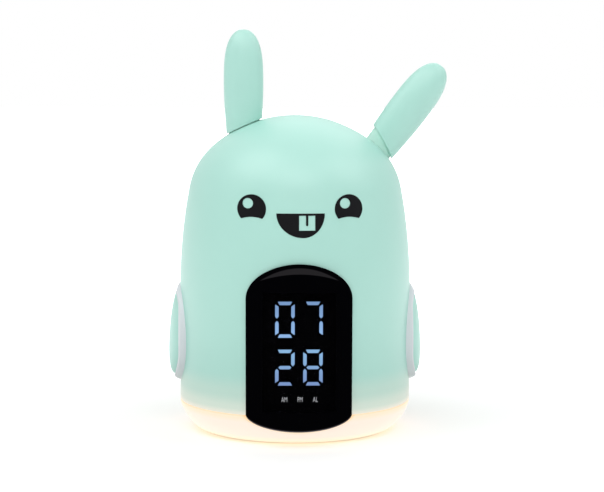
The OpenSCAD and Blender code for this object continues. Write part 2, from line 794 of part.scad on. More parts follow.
// A closed solid through rings of equal length, each a loop of points
module loft(rings) {
    n = len(rings[0]);
    m = len(rings);
    polyhedron(
        points = [for (ring = rings) each ring],
        faces = concat(
            [[for (i = [0 : n - 1]) i]],
            [for (k = [0 : m - 2], i = [0 : n - 1]) let (j = (i + 1) % n) [(k + 1) * n + j, k * n + j, k * n + i]],
            [for (k = [0 : m - 2], i = [0 : n - 1]) let (j = (i + 1) % n) [(k + 1) * n + i, (k + 1) * n + j, k * n + i]],
            [[for (i = [n - 1 : -1 : 0]) (m - 1) * n + i]]
        )
    );
}

module arm_button() {
    color(mint) {
        difference() {
            union() {
                loft(button_rings());
                along_x(body_r - 5.9, body_r - 4.2) polygon(egg(2.3));
            }
            along_x(body_r - 7, body_r - 1) polygon(egg(5.4));
        }
        rod_x(arm_switch_tip_x + arm_travel + 0.2, ring_face_x - 1.2, arm_z, 2.2);
    }
}

module arm_switch() {
    color(board_green) difference() {
        translate([arm_switch_x, -5, arm_stud_z[1] - 3]) cube([board_t, 10, arm_stud_z[0] - arm_stud_z[1] + 6]);
        for (z = arm_stud_z) rod_x(arm_switch_x - 1, arm_switch_x + 3, z, 0.95);
    }
    color(black) {
        translate([arm_switch_x + board_t - 0.1, -3, arm_z - 3]) cube([3.5, 6, 6]);
        rod_x(arm_switch_x + 4, arm_switch_tip_x, arm_z, 1.7);
    }
}

module left_arm_ring() { mirror([1, 0, 0]) arm_ring(); }
module right_arm_ring() { arm_ring(); }
module left_arm_button() { mirror([1, 0, 0]) arm_button(); }
module right_arm_button() { arm_button(); }
module left_arm_switch() { mirror([1, 0, 0]) arm_switch(); }
module right_arm_switch() { arm_switch(); }

// ---- Ears, drawn upright on the right side ----

// Half width of the ear at a distance t below its tip
function ear_half(t) =
    t < ear_head
        ? ear_w / 2 * pow(max(0, 1 - pow(1 - t / ear_head, 3.3)), 1 / 2.1)
        : ear_w / 2 - 1.15 * pow((t - ear_head) / 22, 1.6);

// Rings of the ear from below the crown up to the tip, drawn inwards by inset
function ear_rings(inset, m, n) = [
    for (k = [0 : m - 1])
        let (t = 60 * pow(1 - k / m, 2),
             half = max(0.4, ear_half(t) - inset),
             deep = max(0.3, ear_half(t) * ear_depth_share - inset),
             z = ear_tip_z - t - (t < 10 ? inset * (1 - t / 10) : 0))
        [for (i = [0 : n - 1]) let (a = 360 * i / n)
            [ear_x + (z - ear_mid_z) * tan(ear_lean) + half * cos(a), deep * sin(a), z]]
];

module ear_shell() {
    color(mint) difference() {
        loft(ear_rings(0, 16, 40));
        body_solid(ear_gap, seam_z);
        loft(ear_rings(1.9, 10, 24));
        neck(130, pivot_z + 36.6, 0.12);
    }
}

// The lever that carries the ear: hub, neck, tenon and the curved shutter that closes the slot
module ear_lever() {
    color([0.72, 0.89, 0.84]) difference() {
        union() {
            rod_y(pivot_x, pivot_z, -8, 7.2, hub_r);
            // eccentric cam that presses the switch when the ear stands up
            rod_y(pivot_x, pivot_z - 3, -3, 3, 5.2);
            neck(pivot_z, pivot_z + 36.4, 0);
            neck(pivot_z + 36, pivot_z + 46, -1.7);
            along_y(-7.2, 7.2) translate([pivot_x, pivot_z]) polygon(concat(
                arc(0, 0, shutter_r, -shutter_in_a, shutter_out_a, 28),
                reversed(arc(0, 0, shutter_r - shutter_t, -shutter_in_a, shutter_out_a, 28))
            ));
        }
        rod_y(pivot_x, pivot_z, -10, 10, pin_r + 0.06);
    }
}

module ear_pin() {
    color(steel) rod_y(pivot_x, pivot_z, -11.5, 11.5, pin_r);
}

module ear_washer() {
    color(steel) difference() {
        rod_y(pivot_x, pivot_z, 7.3, 8.1, 4.5);
        rod_y(pivot_x, pivot_z, 7, 9, pin_r + 0.1);
    }
}

module ear_switch() {
    top = frame_z + frame_t;
    color(black) {
        translate([pivot_x - 6.4, -3, top + 0.05]) cube([12.8, 6, 5.6]);
        translate([pivot_x - 1.2, -1, top + 5]) cube([2.4, 2, 1.8]);
    }
}

module ear_frame() {
    top = frame_z + frame_t;
    color([0.9, 0.9, 0.88]) difference() {
        union() {
            translate([0, 0, frame_z]) linear_extrude(frame_t) {
                rounded_rect(-38, -11, 38, 11, 3);
                for (x = [-frame_boss_x, frame_boss_x]) rounded_rect(x - 5, -29, x + 5, 29, 4);
            }
            for (x = [-pivot_x, pivot_x], y = [-10.4, 8.2]) {
                rod_y(x, pivot_z, y, y + 2.2, hub_r);
                translate([x - hub_r, y, top - 0.4]) cube([2 * hub_r, 2.2, pivot_z - top + 0.4]);
            }
            // ribs between the cheeks
            for (y = [-10.4, 8.2]) translate([-20, y, top - 0.4]) cube([40, 2.2, 4.4]);
        }
        for (x = [-pivot_x, pivot_x]) rod_y(x, pivot_z, -12, 12, pin_r + 0.02);
        for (x = [-frame_boss_x, frame_boss_x], y = [-frame_boss_y, frame_boss_y])
            translate([x, y, frame_z - cut]) cylinder(h = 5, r = 1.8, $fn = fine_fn);
        translate([0, 0, frame_z - cut]) cylinder(h = 5, r = 6, $fn = fine_fn);
    }
}

module ear_frame_screws() {
    color(steel) for (x = [-frame_boss_x, frame_boss_x], y = [-frame_boss_y, frame_boss_y])
        translate([x, y, frame_z - 0.05]) screw(screw_r, 10, 2.7, 1.8);
}

module left_ear_pin() { mirror([1, 0, 0]) ear_pin(); }
module right_ear_pin() { ear_pin(); }
module ear_washers() { both_sides() ear_washer(); }
module left_ear_switch() { mirror([1, 0, 0]) ear_switch(); }
module right_ear_switch() { ear_switch(); }
module left_ear_shell() { mirror([1, 0, 0]) ear_shell(); }
module left_ear_lever() { mirror([1, 0, 0]) ear_lever(); }
module right_ear_shell() { fold_ear(ear_fold) ear_shell(); }
module right_ear_lever() { fold_ear(ear_fold) ear_lever(); }

body_shell();
face_print();
display_lens();
display_frame();
segment_mask();
lit_segments();
dark_segments();
display_board();
light_ring();
chassis();
bottom_cover();
rubber_feet();
cover_screws();
chassis_screws();
battery_door();
battery_door_screw();
backup_cell();
cell_holder();
speaker_basket();
speaker_cone();
speaker_magnet();
light_board();
night_leds();
rear_panel();
rear_panel_screws();
main_board();
main_board_chips();
panel_switches();
usb_socket();
clock_button();
alarm_button();
minus_button();
plus_button();
left_arm_ring();
right_arm_ring();
left_arm_button();
right_arm_button();
left_arm_switch();
right_arm_switch();
ear_frame();
ear_frame_screws();
left_ear_pin();
right_ear_pin();
ear_washers();
left_ear_switch();
right_ear_switch();
left_ear_shell();
left_ear_lever();
right_ear_shell();
right_ear_lever();
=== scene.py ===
# %% [markdown]
# # A rabbit-shaped bedside clock, dressed in Blender
# The clock's construction comes from a finished CAD model, which is loaded as a fixed frame. The lesson
# builds the surfaces that people see around it: the moulded shell, the marks on the keys, the glowing base,
# the display window, the ears, the arms and the indicator words. Most places are read from the frame, so
# that the new pieces fit it.

# %% Load the frame
import json
import math

import bmesh
import bpy
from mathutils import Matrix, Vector

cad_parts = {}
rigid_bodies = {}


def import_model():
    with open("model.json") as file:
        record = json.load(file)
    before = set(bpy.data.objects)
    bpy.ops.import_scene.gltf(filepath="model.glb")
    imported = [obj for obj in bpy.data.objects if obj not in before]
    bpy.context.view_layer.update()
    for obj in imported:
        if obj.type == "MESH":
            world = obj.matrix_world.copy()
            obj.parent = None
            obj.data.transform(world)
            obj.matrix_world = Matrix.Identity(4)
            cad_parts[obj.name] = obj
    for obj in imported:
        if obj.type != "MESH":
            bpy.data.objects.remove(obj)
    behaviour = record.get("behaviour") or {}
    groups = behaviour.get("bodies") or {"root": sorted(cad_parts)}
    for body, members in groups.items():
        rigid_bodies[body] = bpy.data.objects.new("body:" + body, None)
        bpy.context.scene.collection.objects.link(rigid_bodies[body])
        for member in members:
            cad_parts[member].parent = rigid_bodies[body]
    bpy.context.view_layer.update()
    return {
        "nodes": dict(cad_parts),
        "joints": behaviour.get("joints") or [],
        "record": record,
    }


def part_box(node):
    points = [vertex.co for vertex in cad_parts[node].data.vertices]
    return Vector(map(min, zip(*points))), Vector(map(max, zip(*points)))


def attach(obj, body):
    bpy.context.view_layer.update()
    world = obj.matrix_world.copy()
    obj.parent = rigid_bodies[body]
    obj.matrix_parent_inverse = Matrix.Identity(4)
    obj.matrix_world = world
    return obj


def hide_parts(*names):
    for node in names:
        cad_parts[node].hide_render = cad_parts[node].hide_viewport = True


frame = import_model()
MM = 0.001

# %% [markdown]
# ## The camera
# The clock is seen through a long lens from a little above the table, so that its sides stay almost
# parallel. The camera stands 90 cm away and 17.5 cm up, looks down by about five degrees, and is a little
# to the left of the clock's front, so that the display faces slightly to the right.

# %% Place the camera
IMAGE_WIDTH_PX = 604
FOCAL_PX = 1796
sensor_w_mm = 36
camera_distance = 900 * MM
camera_height = 175 * MM
camera_turn = math.radians(-2.1)
camera_pitch = math.radians(5.3)
aim_right = math.radians(0.207)
camera_roll = math.radians(-0.15)

bpy.ops.object.select_all(action="DESELECT")
bpy.ops.object.camera_add(
    location=(
        camera_distance * math.sin(camera_turn),
        -camera_distance * math.cos(camera_turn),
        camera_height,
    ),
    rotation=(math.pi / 2 - camera_pitch, camera_roll, camera_turn - aim_right),
)
camera = bpy.context.object
camera.data.sensor_width = sensor_w_mm
camera.data.lens = sensor_w_mm * FOCAL_PX / IMAGE_WIDTH_PX
camera.data.clip_start = 10 * MM
bpy.context.scene.camera = camera
print("lens:", round(camera.data.lens, 1), "mm")

# %% [markdown]
# ## Working as by hand
# Most operators act on what is selected, and a loaded model arrives selected. These helpers select one
# object, go in and out of its edit mode, and select the points, edges or faces of a mesh that pass a test of
# their place. Choosing by place still works when a shape gets more faces, and choosing by number would not.

# %% Select and edit
def select_only(piece):
    bpy.ops.object.select_all(action="DESELECT")
    piece.select_set(True)
    bpy.context.view_layer.objects.active = piece


def edit(piece):
    select_only(piece)
    bpy.ops.object.mode_set(mode="EDIT")


def leave_edit():
    bpy.ops.object.mode_set(mode="OBJECT")


def pick(piece, kind, test):
    """Selects the points, edges or faces whose middle passes the test."""
    bpy.ops.mesh.select_mode(type=kind)
    bpy.ops.mesh.select_all(action="DESELECT")
    mesh = bmesh.from_edit_mesh(piece.data)
    if kind == "VERT":
        chosen = [v for v in mesh.verts if test(v.co)]
    elif kind == "EDGE":
        chosen = [e for e in mesh.edges if test((e.verts[0].co + e.verts[1].co) / 2)]
    else:
        chosen = [f for f in mesh.faces if test(f.calc_center_median())]
    for element in chosen:
        element.select_set(True)
    # chosen points also choose the edges between them, which filling a hole needs
    if kind == "VERT":
        mesh.select_flush(True)
    bmesh.update_edit_mesh(piece.data)


print("helpers: select_only, edit, leave_edit, pick")

# %% [markdown]
# ## Round pieces
# A round piece could be built from stacked cylinders, but its curves would then show steps. Here its profile
# is drawn as a chain of points, each extruded from the last, and spun about the upright axis, the way a
# potter turns a bowl. The spin ends where it began, so the doubled points at the seam are merged.

# %% Draw a chain and spin it
merge_gap = 0.004 * MM


def draw_chain(points):
    """Draws a chain of points, each an extrusion of the last, and stays in edit mode."""
    bpy.ops.object.select_all(action="DESELECT")
    bpy.ops.mesh.primitive_plane_add(size=MM, location=(0, 0, 0))
    chain = bpy.context.object
    edit(chain)
    bpy.ops.mesh.select_mode(type="VERT")
    bpy.ops.mesh.select_all(action="SELECT")
    bpy.ops.mesh.merge(type="CENTER")
    bpy.ops.transform.translate(value=points[0])
    for before, after in zip(points, points[1:]):
        step = Vector(after) - Vector(before)
        bpy.ops.mesh.extrude_region_move(TRANSFORM_OT_translate={"value": step})
    return chain


def turned(profile, steps=128):
    """A round piece from a profile of (radius, height) pairs."""
    piece = draw_chain([(radius, 0, height) for radius, height in profile])
    bpy.ops.mesh.select_all(action="SELECT")
    bpy.ops.mesh.spin(steps=steps, angle=2 * math.pi, center=(0, 0, 0), axis=(0, 0, 1))
    bpy.ops.mesh.select_all(action="SELECT")
    bpy.ops.mesh.remove_doubles(threshold=merge_gap)
    bpy.ops.mesh.normals_make_consistent(inside=False)
    leave_edit()
    return piece


print("helpers: draw_chain, turned")

# %% [markdown]
# ## The outline of the body
# The body is round, so one outline describes it. It has three arcs, and each runs smoothly into the next: a
# shallow crown, a tighter shoulder, and a long flat side that becomes a straight wall. An outline further
# in or out has the same three centres, with shorter or longer radii.

# %% Work out the outline
shell_low, shell_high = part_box("body_shell")
body_r = (shell_high.x - shell_low.x) / 2
seam_z = shell_low.z
crown_z = shell_high.z
crown_r = 63 * MM
shoulder_r = 36.8 * MM
side_r = 272 * MM
shoulder_x = 16.8 * MM

crown_mid_z = crown_z - crown_r
crown_end = math.asin(shoulder_x / (crown_r - shoulder_r))
shoulder_z = crown_mid_z + (crown_r - shoulder_r) * math.cos(crown_end)
side_x = body_r - side_r
shoulder_end = math.asin((shoulder_x - side_x) / (side_r - shoulder_r))
side_z = shoulder_z - (side_r - shoulder_r) * math.cos(shoulder_end)
print("body:", round(2000 * body_r, 1), "mm across,", round(1000 * crown_z, 1), "mm to the crown")

# %% Draw arcs along the outline
bend_steps = 9
side_steps = 4


def arc(x, z, radius, start, end, count):
    """Points of an arc, with angles counted from straight up, outwards."""
    angles = [start + (end - start) * i / count for i in range(count + 1)]
    return [(x + radius * math.sin(a), z + radius * math.cos(a)) for a in angles]


def outline(offset, z_low, fine=2):
    """The body's outline from the crown down to a height, moved outwards by an offset."""
    points = arc(0, crown_mid_z, crown_r + offset, 0, crown_end, bend_steps * fine)
    shoulder = arc(shoulder_x, shoulder_z, shoulder_r + offset, crown_end, shoulder_end, bend_steps * fine)
    side = arc(side_x, side_z, side_r + offset, shoulder_end, math.pi / 2, side_steps * fine)
    # each arc starts where the one before it ends, so its first point is left out
    return points + shoulder[1:] + side[1:] + [(body_r + offset, z_low)]


print("points in the outline:", len(outline(0, seam_z)))

# %% [markdown]
# ## The shell
# The real shell is one moulding with a wall of about two millimetres. It could be a closed lump, but then
# its openings would show no wall. Its outline is drawn down the outside, round a small lip at the seam, and
# up the inside, so that spinning it gives the wall its true thickness.

# %% Turn the shell
wall = 2.2 * MM
lip = 0.35 * MM
round_steps = 144
shell_profile = outline(0, seam_z + lip)
shell_profile += [(body_r - 0.3 * lip, seam_z + 0.3 * lip), (body_r - lip, seam_z), (body_r - wall, seam_z)]
shell_profile += outline(-wall, seam_z + 2 * lip, fine=1)[::-1]
shell = turned(shell_profile, round_steps)
shell.name = "shell"
print("shell, before it is cut:", len(shell.data.polygons), "faces")

# %% [markdown]
# ### The display opening
# Openings are cut with tools, as a router would cut them: a solid in the shape of the opening is taken away
# from the shell. The display's outline is an arch whose upper half is taller than its lower half. It starts
# as a circle whose halves are stretched apart, and is then pushed through the wall.

# %% Cut with a tool
def apply_modifier(piece, kind, **settings):
    select_only(piece)
    modifier = piece.modifiers.new(kind.title(), kind)
    for name, value in settings.items():
        setattr(modifier, name, value)
    bpy.ops.object.modifier_apply(modifier=modifier.name)


def carve(piece, tool, operation="DIFFERENCE"):
    """Cuts, joins or intersects a piece with a tool, and clears the tool away."""
    apply_modifier(piece, "BOOLEAN", object=tool, operation=operation, solver="EXACT")
    bpy.data.objects.remove(tool)


def thick(sheet, start_y, end_y):
    """A block from a flat face in the x-z plane, between two depths."""
    edit(sheet)
    bpy.ops.mesh.select_all(action="SELECT")
    bpy.ops.transform.translate(value=(0, start_y, 0))
    bpy.ops.mesh.extrude_region_move(TRANSFORM_OT_translate={"value": (0, end_y - start_y, 0)})
    bpy.ops.mesh.select_all(action="SELECT")
    bpy.ops.mesh.normals_make_consistent(inside=False)
    leave_edit()
    return sheet


print("helpers: apply_modifier, carve, thick")

# %% Draw the arch
lens_low, lens_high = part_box("display_lens")
display_half_w = (lens_high.x - lens_low.x) / 2
arch_top_h = 17 * MM
arch_bottom_h = 8 * MM
# on the circle of radius 1 that the arch starts from, points this near to the middle line lie on it
on_line = 0.0001
# how far above the arch its halves wait, in metres
aside = 10


def arch_sheet(inset, count=64):
    """The display's arched outline as a flat face in the x-z plane, drawn inwards by an inset."""
    bpy.ops.object.select_all(action="DESELECT")
    bpy.ops.mesh.primitive_circle_add(
        vertices=count, radius=1, fill_type="NGON", location=(0, 0, 0), rotation=(math.pi / 2, 0, 0)
    )
    sheet = bpy.context.object
    bpy.ops.object.transform_apply(location=True, rotation=True, scale=True)
    half_w = display_half_w - inset
    edit(sheet)
    # a stretched half waits far above, where the choice of the other half can't take its points
    halves = (
        (lambda co: co.z > -on_line, arch_top_h - inset, lens_high.z - arch_top_h),
        (lambda co: co.z < -on_line, arch_bottom_h - inset, lens_low.z + arch_bottom_h),
    )
    for is_half, height, z in halves:
        pick(sheet, "VERT", is_half)
        bpy.ops.transform.resize(value=(half_w, 1, height), center_override=(0, 0, 0))
        bpy.ops.transform.translate(value=(0, 0, z + aside))
    bpy.ops.mesh.select_all(action="SELECT")
    bpy.ops.transform.translate(value=(0, 0, -aside))
    leave_edit()
    return sheet


display_h = lens_high.z - lens_low.z
print("display:", round(2000 * display_half_w, 1), "by", round(1000 * display_h, 1), "mm")

# %% Cut the display opening
window_overlap = 0.8 * MM
cut_front_y = -body_r - 5 * MM
cut_back_y = -40 * MM
carve(shell, thick(arch_sheet(window_overlap), cut_front_y, cut_back_y))
print("display opening:", round(2000 * (display_half_w - window_overlap), 1), "mm wide")

# %% [markdown]
# ### The slots for the ears
# An ear folds on a pin inside the head, and only its oval neck passes through the shell. The slot is what
# the neck sweeps, so it is cut with the neck's own shape: once where the ear stands up, once where it is
# folded, and once with a wedge for all that lies between.

# %% Find the ear's pin
ear_joints = {joint["child"]: joint for joint in frame["joints"] if joint["type"] == "hinge"}
pivot = Vector(ear_joints["right_ear"]["pos_m"])
fold = math.radians(-ear_joints["right_ear"]["range_deg"][0])
print("pin:", round(1000 * pivot.z, 1), "mm up, fold:", round(math.degrees(fold)), "degrees")

# %% Mirror and fold a piece
def mirrored(piece):
    """A copy of the piece on the other side of the clock, turned right side out."""
    select_only(piece)
    bpy.ops.object.duplicate()
    twin = bpy.context.object
    edit(twin)
    bpy.ops.mesh.select_all(action="SELECT")
    bpy.ops.transform.resize(value=(-1, 1, 1), center_override=(0, 0, 0))
    bpy.ops.mesh.flip_normals()
    leave_edit()
    return twin


def folded(piece, angle):
    """Turns a piece of the right ear outwards about the ear's pin."""
    edit(piece)
    bpy.ops.mesh.select_all(action="SELECT")
    turn = math.sin(angle), math.cos(angle)
    mesh = bmesh.from_edit_mesh(piece.data)
    for v in mesh.verts:
        away = v.co - pivot
        v.co.x = pivot.x + away.x * turn[1] + away.z * turn[0]
        v.co.z = pivot.z - away.x * turn[0] + away.z * turn[1]
    bmesh.update_edit_mesh(piece.data)
    leave_edit()
    return piece


print("helpers: mirrored, folded")

# %% Make the slot's tools
neck_x = 25.55 * MM
neck_half_w = 7.65 * MM
neck_half_d = 4.8 * MM
slot_air = 0.3 * MM
tool_start = 12 * MM
tool_length = 60 * MM


def neck_tool():
    """The standing neck as an oval rod, with some air round it."""
    bpy.ops.object.select_all(action="DESELECT")
    middle = (neck_x, 0, pivot.z + tool_length / 2 + tool_start)
    bpy.ops.mesh.primitive_cylinder_add(vertices=48, radius=1, depth=tool_length, location=middle)
    tool = bpy.context.object
    tool.scale = (neck_half_w + slot_air, neck_half_d + slot_air, 1)
    bpy.ops.object.transform_apply(location=True, rotation=True, scale=True)
    return tool


def slot_wedge():
    """A wedge from the middle of the standing neck to the middle of the folded one."""
    side = neck_x - pivot.x
    reach = tool_length + tool_start
    corners = []
    for angle in (0, fold / 3, 2 * fold / 3, fold):
        x = pivot.x + side * math.cos(angle) + reach * math.sin(angle)
        z = pivot.z - side * math.sin(angle) + reach * math.cos(angle)
        corners.append((x, 0, z))
    corners.append((pivot.x, 0, pivot.z))
    wedge = draw_chain(corners)
    bpy.ops.mesh.select_all(action="SELECT")
    bpy.ops.mesh.edge_face_add()
    leave_edit()
    half = neck_half_d + 0.6 * slot_air
    return thick(wedge, -half, half)


print("neck:", round(2000 * neck_half_w, 1), "by", round(2000 * neck_half_d, 1), "mm")

# %% Cut the ear slots
for make_tool in (neck_tool, lambda: folded(neck_tool(), fold), slot_wedge):
    right_tool = make_tool()
    left_tool = mirrored(right_tool)
    carve(shell, right_tool)
    carve(shell, left_tool)
print("slot, about:", round(1000 * (crown_z - pivot.z) * fold + 2000 * neck_half_w), "mm long")

# %% [markdown]
# ### The recess at the back
# The keys and the power socket sit on a flat panel that is sunk into the round wall. Cutting the pocket
# alone would leave it without a floor, so a block is added inside the wall first. Its outer side follows
# the shell, and then the pocket is cut into both.

# %% Make a block with rounded edges
def rounded_block(low_x, low_z, high_x, high_z, start_y, end_y, corner):
    """A block with four rounded edges that run from front to back."""
    bpy.ops.object.select_all(action="DESELECT")
    bpy.ops.mesh.primitive_cube_add(
        size=1, location=((low_x + high_x) / 2, (start_y + end_y) / 2, (low_z + high_z) / 2)
    )
    block = bpy.context.object
    block.scale = (high_x - low_x, end_y - start_y, high_z - low_z)
    bpy.ops.object.transform_apply(location=True, rotation=True, scale=True)
    edit(block)
    mid_y = (start_y + end_y) / 2
    pick(block, "EDGE", lambda co: abs(co.y - mid_y) < 0.01 * MM)
    bpy.ops.mesh.bevel(offset=corner, segments=8)
    leave_edit()
    return block


print("helper: rounded_block")

# %% Cut the rear pocket
panel_low, panel_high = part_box("rear_panel")
panel_half_w = (panel_high.x - panel_low.x) / 2
pocket_floor_y = 50.2 * MM
pocket_corner = 3.2 * MM
rim = 2.2 * MM
rim_corner = 5 * MM
under_skin = 0.3 * MM
clear = 0.2 * MM
seat = rounded_block(
    -panel_half_w - rim, panel_low.z - rim, panel_half_w + rim, panel_high.z + rim,
    pocket_floor_y - rim, body_r, rim_corner,
)
carve(seat, turned(outline(-under_skin, seam_z) + [(0, seam_z)]), "INTERSECT")
carve(shell, seat, "UNION")
pocket = rounded_block(
    -panel_half_w - clear, panel_low.z - clear, panel_half_w + clear, panel_high.z + clear,
    pocket_floor_y, body_r + 5 * MM, pocket_corner,
)
carve(shell, pocket)
print("pocket:", round(2000 * (panel_half_w + clear), 1), "mm wide")

# %% [markdown]
# ### Room for the keys, and the end of the shell
# The keys move in and out through the pocket's floor, so one opening is cut there for all four. The panel
# hides it. The shell is then done, and two calls tell the frame what it is: the body that it rides on and
# the CAD node that it takes the place of. Its finish is given with the others later. The other pieces end
# the same way, but the marks and the words take no node's place.

# %% Open the pocket's floor for the keys
key_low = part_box("minus_button")[0]
key_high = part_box("alarm_button")[1]
key_opening = rounded_block(
    key_low.x - clear, key_low.z - clear, key_high.x + clear, key_high.z + clear,
    pocket_floor_y - 2 * rim, pocket_floor_y + clear, MM,
)
carve(shell, key_opening)
print("opening for the keys:", round(1000 * (key_high.x - key_low.x + 2 * clear), 1), "mm wide")

# %% Finish the shell
def smooth(piece, degrees):
    """Shades a piece smoothly, but for edges sharper than an angle."""
    select_only(piece)
    bpy.ops.object.shade_smooth_by_angle(angle=math.radians(degrees))


def settle(piece, name):
    """Puts the piece's place into its mesh, as the frame's own nodes have it."""
    select_only(piece)
    bpy.ops.object.transform_apply(location=True, rotation=True, scale=True)
    piece.name = name
    piece.data.name = name
    print(name, "faces:", len(piece.data.polygons))
    return piece


smooth(shell, 30)
settle(shell, "shell")
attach(shell, "housing")
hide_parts("body_shell")

# %% [markdown]
# ## The marks on the keys
# Each key at the back has a small raised mark: a clock, a bell, a minus and a plus. They could be painted
# on, but raised marks can also be felt in the dark. They are built from short bars and discs, and each
# rides on its own key, so that it goes in with the key.

# %% Make bars and discs on a key
mark_proud = 0.12 * MM
mark_root = 0.5 * MM
bar_corner = 0.2 * MM


def key_top(node):
    """The middle of a key's outer face."""
    low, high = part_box(node)
    return Vector(((low.x + high.x) / 2, high.y, (low.z + high.z) / 2))


def mark_bar(top, low_x, low_z, high_x, high_z):
    """A bar between two corners, in millimetres from the key's middle."""
    return rounded_block(
        top.x + low_x * MM, top.z + low_z * MM, top.x + high_x * MM, top.z + high_z * MM,
        top.y - mark_root, top.y + mark_proud, bar_corner,
    )


def mark_disc(top, up, radius, extra=0):
    """A disc in millimetres, at a height above the key's middle."""
    bpy.ops.object.select_all(action="DESELECT")
    bpy.ops.mesh.primitive_cylinder_add(
        vertices=48, radius=radius * MM, depth=mark_root + mark_proud + extra, rotation=(math.pi / 2, 0, 0),
        location=(top.x, top.y + (mark_proud - mark_root) / 2, top.z + up * MM),
    )
    bpy.ops.object.transform_apply(location=True, rotation=True, scale=True)
    return bpy.context.object


print("marks stand", round(1000 * mark_proud, 2), "mm proud")

# %% Draw the four marks
def minus_mark(top):
    return mark_bar(top, -1.9, -0.28, 1.9, 0.28)


def plus_mark(top):
    mark = minus_mark(top)
    carve(mark, mark_bar(top, -0.28, -1.9, 0.28, 1.9), "UNION")
    return mark


def clock_mark(top):
    """A dial with its hands at three o'clock, which is towards -X when seen from behind."""
    mark = mark_disc(top, 0, 2.2)
    carve(mark, mark_disc(top, 0, 1.75, extra=MM))
    carve(mark, mark_bar(top, -0.2, -0.2, 0.2, 1.25), "UNION")
    carve(mark, mark_bar(top, -1.05, -0.2, 0.15, 0.2), "UNION")
    return mark


def bell_mark(top):
    mark = mark_disc(top, 0.7, 1.15)
    carve(mark, mark_bar(top, -1.15, -1, 1.15, 0.75), "UNION")
    carve(mark, mark_bar(top, -1.8, -1.25, 1.8, -0.8), "UNION")
    carve(mark, mark_disc(top, -1.6, 0.42), "UNION")
    return mark


drawings = {"clock": clock_mark, "alarm": bell_mark, "minus": minus_mark, "plus": plus_mark}
key_marks = []
for key, draw in drawings.items():
    mark = draw(key_top(key + "_button"))
    smooth(mark, 30)
    settle(mark, key + "_mark")
    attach(mark, key + "_key")
    key_marks.append(mark)

# %% [markdown]
# ## The glowing base
# The night light is a ring of milky plastic under the shell, with its light inside. Its side curls under
# towards the feet. A round bevel would be too even for it, so one formula, with an exponent between that of
# a cone and that of an ellipse, draws the curve.

# %% Draw the ring's side
cover_low, cover_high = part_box("bottom_cover")
base_z = cover_low.z
foot_r = (cover_high.x - cover_low.x) / 2 + 0.6 * MM
ring_round = 1.5
floor_rise = 1.7


def ring_edge(inset, count=24):
    """The ring's side from the seam down to the foot, moved inwards by an inset."""
    points = []
    for i in range(count + 1):
        share = i / count
        curl = max(0.0, 1 - share**ring_round) ** (1 / ring_round)
        height = max(seam_z - (seam_z - base_z) * share, base_z + inset * floor_rise)
        points.append((foot_r - inset + (body_r - foot_r) * curl, height))
    return points


print("foot:", round(2000 * foot_r, 1), "mm across")

# %% Turn the light ring
ring_wall = 2.2 * MM
ring_lip = 0.3 * MM
ring_top_z = seam_z - 0.02 * MM
ring_shelf = 4 * MM
foot_round = 0.4 * MM
rebate_z = base_z + 2.1 * MM
floor_z = base_z + 3.8 * MM
inner_side = [point for point in ring_edge(ring_wall, 12) if floor_z + 0.1 * MM < point[1] < seam_z - 2 * MM]

ring_profile = [(body_r - ring_shelf, ring_top_z), (body_r - ring_lip, ring_top_z)]
ring_profile += [(body_r - 0.3 * ring_lip, seam_z - 0.35 * ring_lip)]
ring_profile += [point for point in ring_edge(0) if point[1] < seam_z - ring_lip]
ring_profile += [(foot_r - foot_round, base_z), (foot_r - foot_round, rebate_z)]
ring_profile += [(foot_r - ring_shelf, rebate_z), (foot_r - ring_shelf, floor_z)]
ring_profile += inner_side[::-1]
ring_profile += [(body_r - ring_shelf, seam_z - 1.8 * MM), (body_r - ring_shelf, ring_top_z)]
light_ring = turned(ring_profile, round_steps)
carve(light_ring, thick(arch_sheet(window_overlap), cut_front_y, cut_back_y))
smooth(light_ring, 40)
settle(light_ring, "light_ring_glow")
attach(light_ring, "housing")
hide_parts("light_ring")

# %% [markdown]
# ## The display window
# The window is a curved plate of smoked plastic. It is easiest to fill the arched outline with an even
# grid while it is flat, wrap that grid on to a cylinder, and only then give it thickness and a small
# rounded edge. The grid matters, because a single large face couldn't bend. An inset first leaves a rim of
# even width round the grid, because a bevel can only be as wide as the faces next to it.

# %% Fill the arch with a grid
lens_rim = 1.1 * MM
inside_rim = 0.985


def arch_share(co):
    """How far out a point is in the display's outline: 1 on it, and less inside."""
    above = max(0.0, co.z - (lens_high.z - arch_top_h)) / arch_top_h
    below = max(0.0, lens_low.z + arch_bottom_h - co.z) / arch_bottom_h
    return math.hypot(co.x / display_half_w, above + below)


lens = arch_sheet(0, count=96)
edit(lens)
bpy.ops.mesh.select_mode(type="FACE")
bpy.ops.mesh.select_all(action="SELECT")
bpy.ops.mesh.inset(thickness=lens_rim)
bpy.ops.mesh.delete(type="ONLY_FACE")
pick(lens, "VERT", lambda co: arch_share(co) < inside_rim)
bpy.ops.mesh.fill_grid(span=24)
leave_edit()
print("window, flat:", len(lens.data.polygons), "faces")

# %% Wrap the window round the body
lens_face_r = body_r + 1.9 * MM
edit(lens)
bpy.ops.mesh.select_all(action="SELECT")
bpy.ops.transform.translate(value=(0, -body_r - 20 * MM, 0))
leave_edit()
bpy.ops.object.select_all(action="DESELECT")
middle = (0, 0, 50 * MM)
bpy.ops.mesh.primitive_cylinder_add(vertices=512, radius=lens_face_r, depth=300 * MM, location=middle)
drum = bpy.context.object
apply_modifier(
    lens, "SHRINKWRAP", target=drum, wrap_method="PROJECT", use_project_y=True, use_project_x=False,
    use_project_z=False, use_positive_direction=True, use_negative_direction=False,
)
bpy.data.objects.remove(drum)
print("window's face:", round(1000 * (lens_face_r - body_r), 1), "mm proud of the body")

